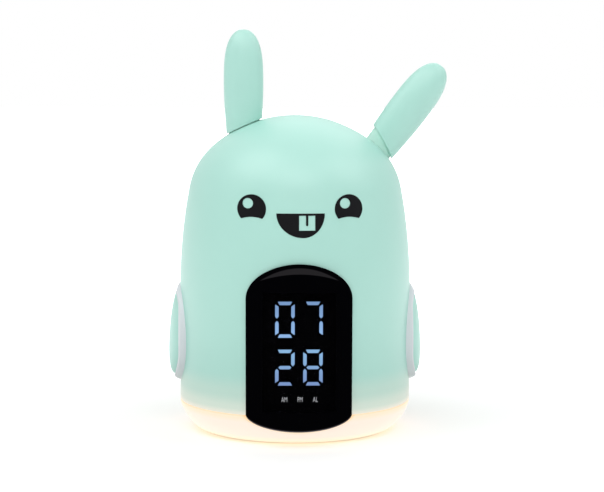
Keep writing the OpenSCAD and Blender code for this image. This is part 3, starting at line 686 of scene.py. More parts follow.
# %% Thicken the window and round its edge
lens_t = 1.8 * MM
lens_round = 0.5 * MM
edit(lens)
bpy.ops.mesh.select_all(action="SELECT")
bpy.ops.mesh.normals_make_consistent(inside=False)
leave_edit()
facing = sum(p.normal.y for p in lens.data.polygons)
apply_modifier(lens, "SOLIDIFY", thickness=lens_t, offset=-1 if facing < 0 else 1)
edge_angle = math.radians(50)
apply_modifier(lens, "BEVEL", width=lens_round, segments=4, limit_method="ANGLE", angle_limit=edge_angle)
smooth(lens, 40)
settle(lens, "window")
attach(lens, "housing")
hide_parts("display_lens")

# %% [markdown]
# ## The ears
# An ear is a long rounded form with an oval section, widest near its middle. It could be a stretched ball,
# but that would taper too soon. It starts as an oval face under the crown, which is extruded upwards ring
# by ring while its width follows the ear's outline.

# %% Work out the ear's outline
ear_tip_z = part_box("left_ear_shell")[1].z
ear_half_w = 9.95 * MM
ear_head = 28 * MM
ear_narrowing = 1.15 * MM
ear_narrowing_reach = 22 * MM


def ear_half(below_tip):
    """Half of the ear's width at a distance below its tip: a round head, and then a slow narrowing."""
    if below_tip < ear_head:
        return ear_half_w * max(0.0, 1 - (1 - below_tip / ear_head) ** 3.3) ** (1 / 2.1)
    return ear_half_w - ear_narrowing * ((below_tip - ear_head) / ear_narrowing_reach) ** 1.6


print("ear:", round(2000 * ear_half(ear_head), 1), "mm wide at most")

# %% Extrude an ear
ear_length = 60 * MM
ear_depth_share = 0.74
ear_x = 25.8 * MM
ear_lean = math.radians(0.2)
ear_mid_z = 151 * MM
tip_zone = 10 * MM


def ear_mid_x(z):
    """The ear leans outwards a little, so the middle of its section depends on the height."""
    return ear_x + (z - ear_mid_z) * math.tan(ear_lean)


def ear_form(inset, rings=18):
    """The ear's form with a flat base below the crown, drawn inwards by an inset."""
    sizes = []
    for i in range(rings):
        below = ear_length * (1 - i / rings) ** 2
        drop = inset * max(0.0, 1 - below / tip_zone)
        half = max(0.3 * MM, ear_half(below) - inset)
        deep = max(0.25 * MM, ear_half(below) * ear_depth_share - inset)
        sizes.append((half, deep, ear_tip_z - below - drop))
    bpy.ops.object.select_all(action="DESELECT")
    start_half, start_deep, start_z = sizes[0]
    bpy.ops.mesh.primitive_circle_add(
        vertices=32, radius=1, fill_type="NGON", location=(ear_mid_x(start_z), 0, start_z)
    )
    ear = bpy.context.object
    ear.scale = (start_half, start_deep, 1)
    bpy.ops.object.transform_apply(location=True, rotation=True, scale=True)
    edit(ear)
    bpy.ops.mesh.select_all(action="SELECT")
    for (half, deep, z), (next_half, next_deep, next_z) in zip(sizes, sizes[1:]):
        step = (ear_mid_x(next_z) - ear_mid_x(z), 0, next_z - z)
        bpy.ops.mesh.extrude_region_move(TRANSFORM_OT_translate={"value": step})
        centre = (ear_mid_x(next_z), 0, next_z)
        bpy.ops.transform.resize(value=(next_half / half, next_deep / deep, 1), center_override=centre)
    bpy.ops.mesh.select_all(action="SELECT")
    bpy.ops.mesh.normals_make_consistent(inside=False)
    leave_edit()
    apply_modifier(ear, "SUBSURF", levels=2, render_levels=2)
    return ear


right_ear = ear_form(0)
print("ear, solid:", len(right_ear.data.polygons), "faces")

# %% [markdown]
# ### Trim and hollow the ears
# The base is trimmed with a slightly larger copy of the body, which leaves an even gap between the
# standing ear and the crown. A smaller copy of the ear then hollows it, because a real ear is a shell that
# slides over its lever. The left ear stands up, and the right one is folded out.

# %% Finish the ears
ear_gap = 0.65 * MM
ear_skin = 1.9 * MM
carve(right_ear, turned(outline(ear_gap, seam_z) + [(0, seam_z)]))
carve(right_ear, ear_form(ear_skin, rings=12))
left_ear = mirrored(right_ear)
folded(right_ear, fold)
for ear, name in ((left_ear, "left_ear"), (right_ear, "right_ear")):
    smooth(ear, 40)
    settle(ear, name + "_form")
    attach(ear, name)
    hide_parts(name + "_shell")

# %% [markdown]
# ## The arms
# Each arm is a push button in an egg-shaped frame. Both start from one egg-shaped loop: a circle whose upper
# half is stretched more than its lower half. An ellipse would be simpler, but then neither end would have
# the right roundness.

# %% Draw the egg
ring_low, ring_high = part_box("right_arm_ring")
arm_half_w = (ring_high.y - ring_low.y) / 2
arm_up = 30 * MM
arm_down = 19.4 * MM
arm_z = ring_high.z - arm_up
low_tip_z = arm_z - arm_down
high_tip_z = arm_z + arm_up


def egg_loop(inset, x, filled, count=64):
    """An egg-shaped loop or face in a plane across the X axis. It stays in edit mode."""
    bpy.ops.object.select_all(action="DESELECT")
    bpy.ops.mesh.primitive_circle_add(
        vertices=count, radius=1, fill_type="NGON" if filled else "NOTHING", rotation=(0, math.pi / 2, 0)
    )
    loop = bpy.context.object
    bpy.ops.object.transform_apply(location=True, rotation=True, scale=True)
    edit(loop)
    for is_half, height in ((lambda co: co.z > on_line, arm_up), (lambda co: co.z < -on_line, arm_down)):
        pick(loop, "VERT", is_half)
        bpy.ops.transform.resize(value=(1, 1, height - inset), center_override=(0, 0, 0))
    bpy.ops.mesh.select_all(action="SELECT")
    bpy.ops.transform.resize(value=(1, arm_half_w - inset, 1), center_override=(0, 0, 0))
    bpy.ops.transform.translate(value=(x, 0, arm_z))
    return loop


print("arm:", round(2000 * arm_half_w, 1), "mm deep,", round(1000 * (arm_up + arm_down), 1), "mm high")

# %% [markdown]
# ### A frame that follows the body
# A flat frame would stand well off the round body at the front and the back, and hardly at its upper and
# lower ends. So its points are moved once it is modelled: outwards by a flare that grows towards both
# ends, and a little downwards near the lower end, where the frame is drawn together.

# %% Work out the flare
flare_high_z = 62 * MM
flare_low_z = 39 * MM
high_tip_h = 4.6 * MM
low_tip_h = 3.2 * MM
squeeze = 0.26
squeeze_h = 16 * MM


def flare(z):
    """How much further the frame's face stands off the shell: more towards both ends, but for their tips."""
    up_share = max(0.0, (z - flare_high_z) / (high_tip_z - flare_high_z))
    down_share = max(0.0, (flare_low_z - z) / (flare_low_z - low_tip_z))
    high_tip = max(0.0, 1 - (high_tip_z - z) / high_tip_h)
    low_tip = max(0.0, 1 - (z - low_tip_z) / low_tip_h)
    ends = 3.1 * down_share**1.5 + 2.8 * up_share**1.5
    tips = 2.9 * low_tip**1.3 + 3.4 * high_tip**1.3
    return (ends - tips) * MM


def squeezed(z):
    """Draws the lower end together, so that the frame is narrower there."""
    up = z - low_tip_z
    return z - squeeze * up * max(0.0, 1 - up / squeeze_h)


def reshape(piece, place):
    """Moves every point of a piece to the place that it should have."""
    edit(piece)
    mesh = bmesh.from_edit_mesh(piece.data)
    for v in mesh.verts:
        v.co = place(v.co)
    bmesh.update_edit_mesh(piece.data)
    bpy.ops.mesh.select_all(action="SELECT")
    bpy.ops.mesh.normals_make_consistent(inside=False)
    leave_edit()


print("flare, 8 mm from the lower tip:", round(1000 * flare(low_tip_z + 8 * MM), 2), "mm")

# %% [markdown]
# ### Openings for the arm buttons
# A button goes in through the shell, to a switch behind it. Without an opening the two would cut into each
# other. The opening has the outline of the frame's inside, but is a little larger, so that the frame hides
# its edge.

# %% Open the shell for the buttons
ring_w = 3.2 * MM
frame_lap = 0.3 * MM
opening_depth = 8 * MM


def arm_opening():
    """The opening in the shell for an arm button, with its edge hidden under the frame."""
    opening = egg_loop(ring_w - frame_lap, body_r - opening_depth, True)
    bpy.ops.mesh.extrude_region_move(TRANSFORM_OT_translate={"value": (2 * opening_depth, 0, 0)})
    leave_edit()
    reshape(opening, lambda co: Vector((co.x, co.y, squeezed(co.z))))
    return opening


right_opening = arm_opening()
left_opening = mirrored(right_opening)
carve(shell, right_opening)
carve(shell, left_opening)
smooth(shell, 30)
print("shell, with all its openings:", len(shell.data.polygons), "faces")

# %% [markdown]
# ### The arm frames
# A frame is a thin rounded band that stands on the shell. A bevel would give it one even radius, so its
# section is drawn instead: the egg-shaped loop is extruded step by step, outwards, over the rim and back
# inwards.

# %% Model an arm's frame
ring_face_x = body_r + 0.6 * MM
arm_foot_x = body_r - 6 * MM
flare_start = 5 * MM
flare_full = 3.5 * MM


def frame_place(co):
    """The frame follows the flare at its face, and less so towards its foot."""
    share = min(1.0, max(0.0, (co.x - ring_face_x + flare_start) / flare_full))
    z = squeezed(co.z)
    return Vector((co.x + flare(z) * share, co.y, z))


def arm_frame():
    # each step is (inset, depth below the face) in millimetres, over the rounded rim and back inwards
    section = [(0, 5), (0, 1.3), (0.1, 0.85), (0.35, 0.48), (0.75, 0.2), (1.2, 0.05), (1.7, 0), (2.3, 0.03)]
    section += [(2.75, 0.2), (3.08, 0.5), (3.2, 1.0), (3.2, 5), (3.2, 7.3), (0, 7.3)]
    band = egg_loop(0, arm_foot_x, False)
    inset_now = 0
    x_now = arm_foot_x
    for inset, depth in section:
        x_next = ring_face_x - depth * MM
        bpy.ops.mesh.extrude_region_move(TRANSFORM_OT_translate={"value": (x_next - x_now, 0, 0)})
        across = (arm_half_w - inset * MM) / (arm_half_w - inset_now)
        tall = (arm_up - inset * MM) / (arm_up - inset_now)
        bpy.ops.transform.resize(value=(1, across, tall), center_override=(0, 0, arm_z))
        inset_now = inset * MM
        x_now = x_next
    bpy.ops.mesh.select_all(action="SELECT")
    bpy.ops.mesh.remove_doubles(threshold=0.02 * MM)
    leave_edit()
    reshape(band, frame_place)
    return band


right_frame = arm_frame()
print("arm frame:", len(right_frame.data.polygons), "faces")

# %% [markdown]
# ### The arm buttons
# A button is a low dome inside the frame. A flattened ball would be too even for it, so it is extruded
# outwards ring by ring, and each ring is smaller than the last one. Its peak lies below the middle of the
# egg, so its upper half slopes more gently.

# %% Model an arm's button
cap_air = 0.3 * MM
cap_rim_x = ring_face_x - 0.3 * MM
arm_peak_x = body_r + 5.75 * MM
arm_peak_z = 40.4 * MM
cap_rings = 14
cap_ring_turn = math.radians(6.2)


def cap_place(co):
    """The button's rim follows the frame, and its upper half tapers more than its lower half."""
    if co.x < cap_rim_x - 0.1 * MM:
        return co
    rise = min(1.0, max(0.0, (co.x - cap_rim_x) / (arm_peak_x - cap_rim_x)))
    low = max(1e-6, 1 - rise**2) ** (1 / 2.4)
    high = max(1e-6, 1 - rise ** (4 / 3)) ** (1 / 1.8)
    above = co.z - arm_peak_z
    rim_z = squeezed(arm_peak_z + above / low)
    z = squeezed(arm_peak_z + above * (high / low if above > 0 else 1))
    return Vector((co.x + flare(rim_z) * (1 - rise), co.y * (low + high) / (2 * low), z))


def arm_cap():
    cap = egg_loop(ring_w + cap_air, arm_foot_x, True)
    bpy.ops.mesh.extrude_region_move(TRANSFORM_OT_translate={"value": (cap_rim_x - arm_foot_x, 0, 0)})
    share_now = 1
    x_now = cap_rim_x
    for i in range(1, cap_rings + 1):
        share = math.cos(cap_ring_turn * i)
        x_next = cap_rim_x + (arm_peak_x - cap_rim_x) * (1 - share**2.4) ** 0.5
        bpy.ops.mesh.extrude_region_move(TRANSFORM_OT_translate={"value": (x_next - x_now, 0, 0)})
        ratio = share / share_now
        bpy.ops.transform.resize(value=(1, ratio, ratio), center_override=(0, 0, arm_peak_z))
        share_now = share
        x_now = x_next
    leave_edit()
    reshape(cap, cap_place)
    return cap


right_cap = arm_cap()
print("arm button:", len(right_cap.data.polygons), "faces")

# %% Finish the arms
left_frame = mirrored(right_frame)
left_cap = mirrored(right_cap)
for piece, name, body, node, slot in (
    (right_frame, "right_arm_frame", "housing", "right_arm_ring", "grey_ring"),
    (left_frame, "left_arm_frame", "housing", "left_arm_ring", "grey_ring"),
    (right_cap, "right_arm_cap", "right_arm", "right_arm_button", "mint_plastic"),
    (left_cap, "left_arm_cap", "left_arm", "left_arm_button", "mint_plastic"),
):
    smooth(piece, 50)
    settle(piece, name)
    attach(piece, body)
    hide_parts(node)

# %% [markdown]
# ## The indicator words
# Three small words light up under the digits. Text objects are the quickest way to letters. They become
# meshes first, and their place is applied last, so that they sit in the frame as every other piece does.

# %% Write the indicator words
mask_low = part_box("segment_mask")[0]
word_y = mask_low.y - 0.05 * MM
word_z = 22.65 * MM
letter_size = 3.57 * MM
letter_narrowing = 0.58
letter_t = 0.02 * MM
words = []
for word, x in (("AM", -6.9), ("PM", 0.6), ("AL", 7.9)):
    bpy.ops.object.select_all(action="DESELECT")
    bpy.ops.object.text_add(location=(x * MM, word_y, word_z), rotation=(math.pi / 2, 0, 0))
    text = bpy.context.object
    text.data.body = word
    text.data.size = letter_size
    text.data.align_x = "CENTER"
    text.data.align_y = "CENTER"
    text.data.extrude = letter_t
    text.data.offset = -letter_t
    text.scale = (letter_narrowing, 1, 1)
    bpy.ops.object.convert(target="MESH")
    words.append(bpy.context.object)
print("words:", len(words))

# %% Join the words
bpy.ops.object.select_all(action="DESELECT")
for word in words:
    word.select_set(True)
bpy.context.view_layer.objects.active = words[0]
bpy.ops.object.join()
edit(words[0])
bpy.ops.mesh.select_mode(type="VERT")
bpy.ops.mesh.select_all(action="SELECT")
bpy.ops.mesh.remove_doubles(threshold=0.002 * MM)
leave_edit()
indicator = settle(words[0], "indicator_words")
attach(indicator, "housing")

# %% [markdown]
# ## Finishes
# Every finish is a small node graph. A painted picture would need a file, and would blur close up. Patterns
# read object coordinates, so that they stay on their piece when an ear folds or a button is pressed.

# %% Start a finish
def new_material(name):
    material = bpy.data.materials.new(name)
    material.use_nodes = True
    nodes = material.node_tree.nodes
    links = material.node_tree.links
    shader = nodes["Principled BSDF"]
    return material, nodes, links, shader


def add(nodes, kind, **settings):
    """Adds a node, and sets its inputs and its properties by name."""
    node = nodes.new(kind)
    for name, value in settings.items():
        if name in node.inputs:
            node.inputs[name].default_value = value
        else:
            setattr(node, name, value)
    return node


def object_coords(nodes):
    return add(nodes, "ShaderNodeTexCoord").outputs["Object"]


def linear(*srgb):
    """A colour given in display values from 0 to 255, as the shader wants it."""
    def one(value):
        value /= 255
        return value / 12.92 if value <= 0.04045 else ((value + 0.055) / 1.055) ** 2.4

    return tuple(one(value) for value in srgb) + (1.0,)


print("helpers: new_material, add, object_coords, linear")

# %% Fine moulded grain
def grain(nodes, links, shader, coords, scale, strength, rough_low, rough_high):
    """A little bump, and a roughness that wanders slightly. Returns the slow noise that it wanders with."""
    noise = add(nodes, "ShaderNodeTexNoise", Scale=scale, Detail=3.0)
    links.new(coords, noise.inputs["Vector"])
    bump = add(nodes, "ShaderNodeBump", Strength=strength, Distance=0.05 * MM)
    links.new(noise.outputs["Fac"], bump.inputs["Height"])
    links.new(bump.outputs["Normal"], shader.inputs["Normal"])
    cloud = add(nodes, "ShaderNodeTexNoise", Scale=60.0, Detail=2.0)
    links.new(coords, cloud.inputs["Vector"])
    wander = add(nodes, "ShaderNodeMapRange")
    wander.inputs["To Min"].default_value = rough_low
    wander.inputs["To Max"].default_value = rough_high
    links.new(cloud.outputs["Fac"], wander.inputs["Value"])
    links.new(wander.outputs["Result"], shader.inputs["Roughness"])
    return cloud


print("helper: grain")

# %% Colours that follow a value
def ramp_between(nodes, links, value, stops, low, high, interpolation="EASE"):
    """A colour ramp that follows a value between two limits."""
    span = add(nodes, "ShaderNodeMapRange")
    span.inputs["From Min"].default_value = low
    span.inputs["From Max"].default_value = high
    links.new(value, span.inputs["Value"])
    ramp = add(nodes, "ShaderNodeValToRGB")
    ramp.color_ramp.interpolation = interpolation
    while len(ramp.color_ramp.elements) < len(stops):
        ramp.color_ramp.elements.new(0.5)
    for element, (place, colour) in zip(ramp.color_ramp.elements, stops):
        element.position = place
        element.color = colour
    links.new(span.outputs["Result"], ramp.inputs["Fac"])
    return ramp.outputs["Color"]


def ramp_over_height(nodes, links, coords, stops, low, high):
    """A colour ramp that follows the height between two levels."""
    parts = add(nodes, "ShaderNodeSeparateXYZ")
    links.new(coords, parts.inputs["Vector"])
    return ramp_between(nodes, links, parts.outputs["Z"], stops, low, high)


print("helpers: ramp_between, ramp_over_height")

# %% [markdown]
# ### Mint plastic
# The shell, the ears and the arm buttons are moulded in one satin plastic, with a fine grain that breaks up
# reflections. Its green varies very slightly. The shell's wall is thin, so light from the base leaks up
# through its lowest 20 mm. Lighting it from within by a ramp is steadier than real scattering.

# %% Mix the mint plastic
leak_height = 20 * MM


def mint_plastic(name, glow):
    material, nodes, links, shader = new_material(name)
    coords = object_coords(nodes)
    cloud = grain(nodes, links, shader, coords, scale=2500.0, strength=0.12, rough_low=0.38, rough_high=0.46)
    tint = add(nodes, "ShaderNodeMix", data_type="RGBA")
    tint.inputs["A"].default_value = linear(162, 212, 200)
    tint.inputs["B"].default_value = linear(166, 215, 203)
    links.new(cloud.outputs["Fac"], tint.inputs["Factor"])
    links.new(tint.outputs["Result"], shader.inputs["Base Color"])
    shader.inputs["Specular IOR Level"].default_value = 0.75
    shader.inputs["IOR"].default_value = 1.58
    if glow:
        stops = [
            (0.0, (0.46, 0.2, 0.16, 1)),
            (0.16, (0.25, 0.1, 0.08, 1)),
            (0.5, (0.1, 0.03, 0.02, 1)),
            (1.0, (0, 0, 0, 1)),
        ]
        leak = ramp_over_height(nodes, links, coords, stops, seam_z, seam_z + leak_height)
        links.new(leak, shader.inputs["Emission Color"])
        shader.inputs["Emission Strength"].default_value = 1.0
    return material


mint = mint_plastic("mint_plastic", False)
mint_shell = mint_plastic("mint_shell", True)
print("made:", mint.name, mint_shell.name)

# %% [markdown]
# ### The glowing diffuser
# The base is milky plastic, lit evenly from inside. Its glow is warmer towards its foot and its seam. The
# window stands over it, so a painted warm shade runs along the window's lower edge. How far a point lies
# outside the arch is worked out with a few steps of arithmetic.

# %% Arithmetic between nodes
def calc(nodes, links, operation, *values):
    """One step of arithmetic, on numbers or on the outputs of other nodes."""
    node = add(nodes, "ShaderNodeMath", operation=operation)
    for socket, value in zip(node.inputs, values):
        if isinstance(value, (int, float)):
            socket.default_value = value
        else:
            links.new(value, socket)
    return node.outputs["Value"]


def diagonal(nodes, links, across, along):
    """The straight distance of a step that goes across and along."""
    squares = [calc(nodes, links, "MULTIPLY", side, side) for side in (across, along)]
    return calc(nodes, links, "SQRT", calc(nodes, links, "ADD", *squares))


print("helpers: calc, diagonal")

# %% Shade the ring along the window
shade_reach = 2.2 * MM


def window_shade(nodes, links, coords):
    """White, but for a painted warm shade next to the window's lower edge."""
    parts = add(nodes, "ShaderNodeSeparateXYZ")
    links.new(coords, parts.inputs["Vector"])
    x = parts.outputs["X"]
    drop = calc(nodes, links, "SUBTRACT", lens_low.z + arch_bottom_h, parts.outputs["Z"])
    drop = calc(nodes, links, "MAXIMUM", drop, 0.0)
    across = calc(nodes, links, "DIVIDE", x, display_half_w)
    along = calc(nodes, links, "DIVIDE", drop, arch_bottom_h)
    distance = diagonal(nodes, links, x, drop)
    # the share is 1 on the window's edge, so the edge lies at the distance divided by the share
    share = diagonal(nodes, links, across, along)
    edge = calc(nodes, links, "DIVIDE", distance, share)
    gap = calc(nodes, links, "SUBTRACT", distance, edge)
    # the back of the ring has no window, so its gap is made far too wide for any shade
    behind = calc(nodes, links, "GREATER_THAN", parts.outputs["Y"], 0.0)
    stops = [
        (0.0, (0.85, 0.78, 0.52, 1)),
        (0.3, (1, 0.84, 0.59, 1)),
        (0.65, (1, 0.96, 0.82, 1)),
        (1.0, (1, 1, 1, 1)),
    ]
    return ramp_between(nodes, links, calc(nodes, links, "ADD", gap, behind), stops, 0, shade_reach)


print("shade under the window:", round(1000 * shade_reach, 1), "mm")

# %% Mix the diffuser
def glowing_diffuser():
    material, nodes, links, shader = new_material("warm_diffuser")
    coords = object_coords(nodes)
    grain(nodes, links, shader, coords, scale=1800.0, strength=0.08, rough_low=0.42, rough_high=0.52)
    shader.inputs["Base Color"].default_value = linear(150, 138, 118)
    shader.inputs["Specular IOR Level"].default_value = 0.2
    stops = [
        (0.0, linear(246, 220, 192)),
        (0.1, linear(240, 222, 202)),
        (0.25, linear(230, 215, 206)),
        (0.7, linear(226, 211, 203)),
        (0.93, linear(230, 206, 184)),
        (1.0, linear(230, 196, 160)),
    ]
    glow = ramp_over_height(nodes, links, coords, stops, base_z, seam_z)
    shaded = add(nodes, "ShaderNodeMix", data_type="RGBA", blend_type="MULTIPLY")
    shaded.inputs["Factor"].default_value = 1.0
    links.new(glow, shaded.inputs["A"])
    links.new(window_shade(nodes, links, coords), shaded.inputs["B"])
    links.new(shaded.outputs["Result"], shader.inputs["Emission Color"])
    shader.inputs["Emission Strength"].default_value = 1.0
    return material


diffuser = glowing_diffuser()
print("made:", diffuser.name)

# %% [markdown]
# ### The display
# The window is black, but for the middle, which lets the digits through. A grey crescent near its top is a
# painted highlight on the bright edge of its curve, and its rounded lower edge has painted light from the
# base. Both are emitted by the finish itself, so that they don't depend on the lamps. The digits are cool,
# and paler in the middle.

# %% Mark out the window
clear_half_w = 17 * MM
clear_half_h = 28 * MM
clear_mid_z = 46 * MM
clear_alpha = 0.35
crescent_end_z = 79.8 * MM
crescent_half_w = 19.6 * MM
crescent_low_z = 83.4 * MM
crescent_high_z = 86.6 * MM
crescent_edge = 0.3 * MM
# strengths of the painted crescent highlight and of the painted light on the rounded lower edge
painted_crescent_highlight = 0.019
painted_lower_edge_light = 0.11


def fade(nodes, links, value, start, end):
    """Rises from 0 to 1 as the value goes from start to end."""
    node = add(nodes, "ShaderNodeMapRange")
    node.inputs["From Min"].default_value = start
    node.inputs["From Max"].default_value = end
    links.new(value, node.inputs["Value"])
    return node.outputs["Result"]


def crescent(nodes, links, x, z):
    """A painted highlight between two bows that meet at their ends."""
    bow = calc(nodes, links, "DIVIDE", calc(nodes, links, "MULTIPLY", x, x), crescent_half_w**2)
    edges = []
    for middle_z in (crescent_low_z, crescent_high_z):
        drop = calc(nodes, links, "MULTIPLY", bow, middle_z - crescent_end_z)
        edges.append(calc(nodes, links, "SUBTRACT", middle_z, drop))
    above = fade(nodes, links, calc(nodes, links, "SUBTRACT", z, edges[0]), 0, crescent_edge)
    below = fade(nodes, links, calc(nodes, links, "SUBTRACT", edges[1], z), 0, crescent_edge)
    return calc(nodes, links, "MULTIPLY", calc(nodes, links, "MULTIPLY", above, below), painted_crescent_highlight)


print("clear part of the window:", round(2000 * clear_half_w), "by", round(2000 * clear_half_h), "mm")

# %% Mix the smoked window
def smoked_window():
    material, nodes, links, shader = new_material("smoked_window")
    shader.inputs["Base Color"].default_value = (0.001, 0.001, 0.0015, 1)
    shader.inputs["Roughness"].default_value = 0.08
    shader.inputs["Specular IOR Level"].default_value = 0.0
    parts = add(nodes, "ShaderNodeSeparateXYZ")
    links.new(object_coords(nodes), parts.inputs["Vector"])
    x = parts.outputs["X"]
    z = parts.outputs["Z"]
    across = calc(nodes, links, "DIVIDE", calc(nodes, links, "ABSOLUTE", x), clear_half_w)
    off_z = calc(nodes, links, "ABSOLUTE", calc(nodes, links, "SUBTRACT", z, clear_mid_z))
    outwards = calc(nodes, links, "MAXIMUM", across, calc(nodes, links, "DIVIDE", off_z, clear_half_h))
    border = fade(nodes, links, outwards, 0.97, 1.03)
    links.new(calc(nodes, links, "MAXIMUM", border, clear_alpha), shader.inputs["Alpha"])
    # the rounded lower edge, where it faces down, gets painted light from the base
    facing = add(nodes, "ShaderNodeSeparateXYZ")
    links.new(add(nodes, "ShaderNodeTexCoord").outputs["Normal"], facing.inputs["Vector"])
    down = calc(nodes, links, "MULTIPLY", facing.outputs["Z"], -1.0)
    painted_edge_light = calc(nodes, links, "MULTIPLY", fade(nodes, links, down, 0.03, 0.25), painted_lower_edge_light)
    # the painted crescent highlight and the painted light on the lower edge are emitted in this pale colour
    shader.inputs["Emission Color"].default_value = (0.95, 0.88, 0.95, 1)
    glow = calc(nodes, links, "ADD", crescent(nodes, links, x, z), painted_edge_light)
    links.new(glow, shader.inputs["Emission Strength"])
    return material


window_finish = smoked_window()
print("made:", window_finish.name)

# %% Mix the lit digits
digits_low_z = 28 * MM
digits_high_z = 72 * MM


def lit_digits():
    material, nodes, links, shader = new_material("lit_digits")
    shader.inputs["Base Color"].default_value = (0.02, 0.02, 0.03, 1)
    stops = [
        (0.0, linear(121, 149, 199)),
        (0.45, linear(136, 181, 222)),
        (0.55, linear(141, 181, 230)),
        (1.0, linear(117, 151, 196)),
    ]
    glow = ramp_over_height(nodes, links, object_coords(nodes), stops, digits_low_z, digits_high_z)
    links.new(glow, shader.inputs["Emission Color"])
    shader.inputs["Emission Strength"].default_value = 2.4
    return material


digit_finish = lit_digits()
print("made:", digit_finish.name)

# %% [markdown]
# ### The other finishes
# The rest of the clock has one colour for each piece: grey rings, white plastic, black inside the display,
# ink, steel, circuit board, rubber and small lamps. One function makes them all, each with a little grain,
# so that none of them looks like flat paint.

# %% Mix the other finishes
def moulded(
    name, colour, roughness, metallic=0.0, glow=None, strength=0.0, scale=2200.0, bump=0.1, sheen=0.5
):
    material, nodes, links, shader = new_material(name)
    grain(nodes, links, shader, object_coords(nodes), scale, bump, roughness - 0.04, roughness + 0.05)
    shader.inputs["Base Color"].default_value = colour
    shader.inputs["Metallic"].default_value = metallic
    shader.inputs["Specular IOR Level"].default_value = sheen
    if glow:
        shader.inputs["Emission Color"].default_value = glow
        shader.inputs["Emission Strength"].default_value = strength
    return material


word_finish = moulded("lit_words", (0.1, 0.1, 0.1, 1), 0.5, glow=linear(185, 187, 192), strength=2.2)
ink = moulded("printed_ink", (0.003, 0.003, 0.004, 1), 0.4, bump=0.02, sheen=0.1)
black = moulded("black_plastic", (0.002, 0.002, 0.0025, 1), 0.6, sheen=0.02)
grey_ring = moulded("grey_ring", linear(208, 213, 217), 0.36)
pale_mint = moulded("pale_mint", linear(186, 228, 215), 0.4)
steel = moulded("bright_steel", (0.62, 0.62, 0.64, 1), 0.28, metallic=1.0, scale=900.0)
board = moulded("circuit_board", (0.02, 0.12, 0.05, 1), 0.4)
white_plastic = moulded("white_plastic", linear(232, 234, 230), 0.42)
rubber = moulded("foot_rubber", (0.03, 0.03, 0.032, 1), 0.75, bump=0.3)
led = moulded("night_led", linear(255, 246, 225), 0.4, glow=linear(255, 235, 200), strength=3.0)
print("finishes in the file:", len(bpy.data.materials))

# %% [markdown]
# ### Who wears what
# The frame's record names a finish for each of its nodes, so a table from those names to the finishes above
# dresses them all. The new pieces are dressed one by one.

# %% Dress the frame's nodes
finishes = {
    "mint_plastic": mint,
    "pale_mint_plastic": pale_mint,
    "grey_ring": grey_ring,
    "warm_diffuser": diffuser,
    "smoked_window": window_finish,
    "printed_ink": ink,
    "black_plastic": black,
    "lit_digit": digit_finish,
    "dark_digit": black,
    "circuit_board": board,
    "white_plastic": white_plastic,
    "night_led": led,
    "foot_rubber": rubber,
    "bright_steel": steel,
}
slot_of = {row["node"]: row["material_slot"] for row in frame["record"]["subparts"]}


def dress(piece, material):
    piece.data.materials.clear()
    piece.data.materials.append(material)


for name, node in frame["nodes"].items():
    dress(node, finishes[slot_of[name]])
print("nodes dressed:", len(frame["nodes"]))

# %% Dress the new pieces
for piece in (left_ear, right_ear, left_cap, right_cap):
    dress(piece, mint)
for piece in (left_frame, right_frame):
    dress(piece, grey_ring)
for mark in key_marks:
    dress(mark, white_plastic)
dress(shell, mint_shell)
dress(light_ring, diffuser)
dress(lens, window_finish)
dress(indicator, word_finish)
print("new pieces dressed:", 10 + len(key_marks))

# %% [markdown]
# ## The table
# The clock stands on a plain white table. Under soft light a white table turns out grey, and more light
# would bleach the clock. So part of the table's white is emitted, and only for what the camera sees
# directly, in a shiny surface or through glass. Near the clock less is emitted, which keeps its shadow, and
# close round the glowing base it is warm.

# %% Lay the table
bpy.ops.object.select_all(action="DESELECT")
bpy.ops.mesh.primitive_plane_add(size=20, location=(0, 0, 0))
table = bpy.context.object
table.name = "table"
material, nodes, links, shader = new_material("white_table")
shader.inputs["Base Color"].default_value = (0.8, 0.8, 0.8, 1)
shader.inputs["Roughness"].default_value = 0.9
shader.inputs["Specular IOR Level"].default_value = 0.0
dress(table, material)
print("made:", table.name)

# %% Light up the table round the clock
# each ring is (distance from the clock's axis in millimetres, emitted colour)
halo = (
    (40, (0.7, 0.56, 0.38)),
    (46.5, (0.5, 0.4, 0.25)),
    (48, (0.26, 0.21, 0.12)),
    (52, (0.17, 0.18, 0.14)),
    (60, (0.15, 0.15, 0.14)),
    (100, (0.165, 0.165, 0.155)),
    (140, (0.17, 0.17, 0.17)),
    (260, (1, 1, 1)),
)
near = halo[0][0]
far = halo[-1][0]
stops = [((distance - near) / (far - near), colour + (1,)) for distance, colour in halo]
reach = add(nodes, "ShaderNodeVectorMath", operation="LENGTH")
links.new(object_coords(nodes), reach.inputs[0])
table_glow = ramp_between(nodes, links, reach.outputs["Value"], stops, near * MM, far * MM, "LINEAR")
print("rings of light on the table:", len(halo))

# %% Add a warm patch in front
# the glowing base shines past the window's lower edge here
patch_y = -45 * MM
patch_full = 6 * MM
patch_end = 34 * MM


def backdrop_share(nodes, links):
    """1 for what the camera sees directly, in a shiny surface or through glass, and 0 for other light."""
    path = add(nodes, "ShaderNodeLightPath")
    seen = calc(nodes, links, "MAXIMUM", path.outputs["Is Camera Ray"], path.outputs["Is Glossy Ray"])
    return calc(nodes, links, "MAXIMUM", seen, path.outputs["Is Transmission Ray"])


spot = add(nodes, "ShaderNodeVectorMath", operation="DISTANCE")
spot.inputs[1].default_value = (0, patch_y, 0)
links.new(object_coords(nodes), spot.inputs[0])
stops = [(0.0, (0.14, 0.1, 0.05, 1)), (1.0, (0, 0, 0, 1))]
patch = ramp_between(nodes, links, spot.outputs["Value"], stops, patch_full, patch_end)
total = add(nodes, "ShaderNodeMix", data_type="RGBA", blend_type="ADD")
total.inputs["Factor"].default_value = 1.0
links.new(table_glow, total.inputs["A"])
links.new(patch, total.inputs["B"])
links.new(total.outputs["Result"], shader.inputs["Emission Color"])
links.new(backdrop_share(nodes, links), shader.inputs["Emission Strength"])
print("warm patch:", round(2000 * patch_end), "mm across")

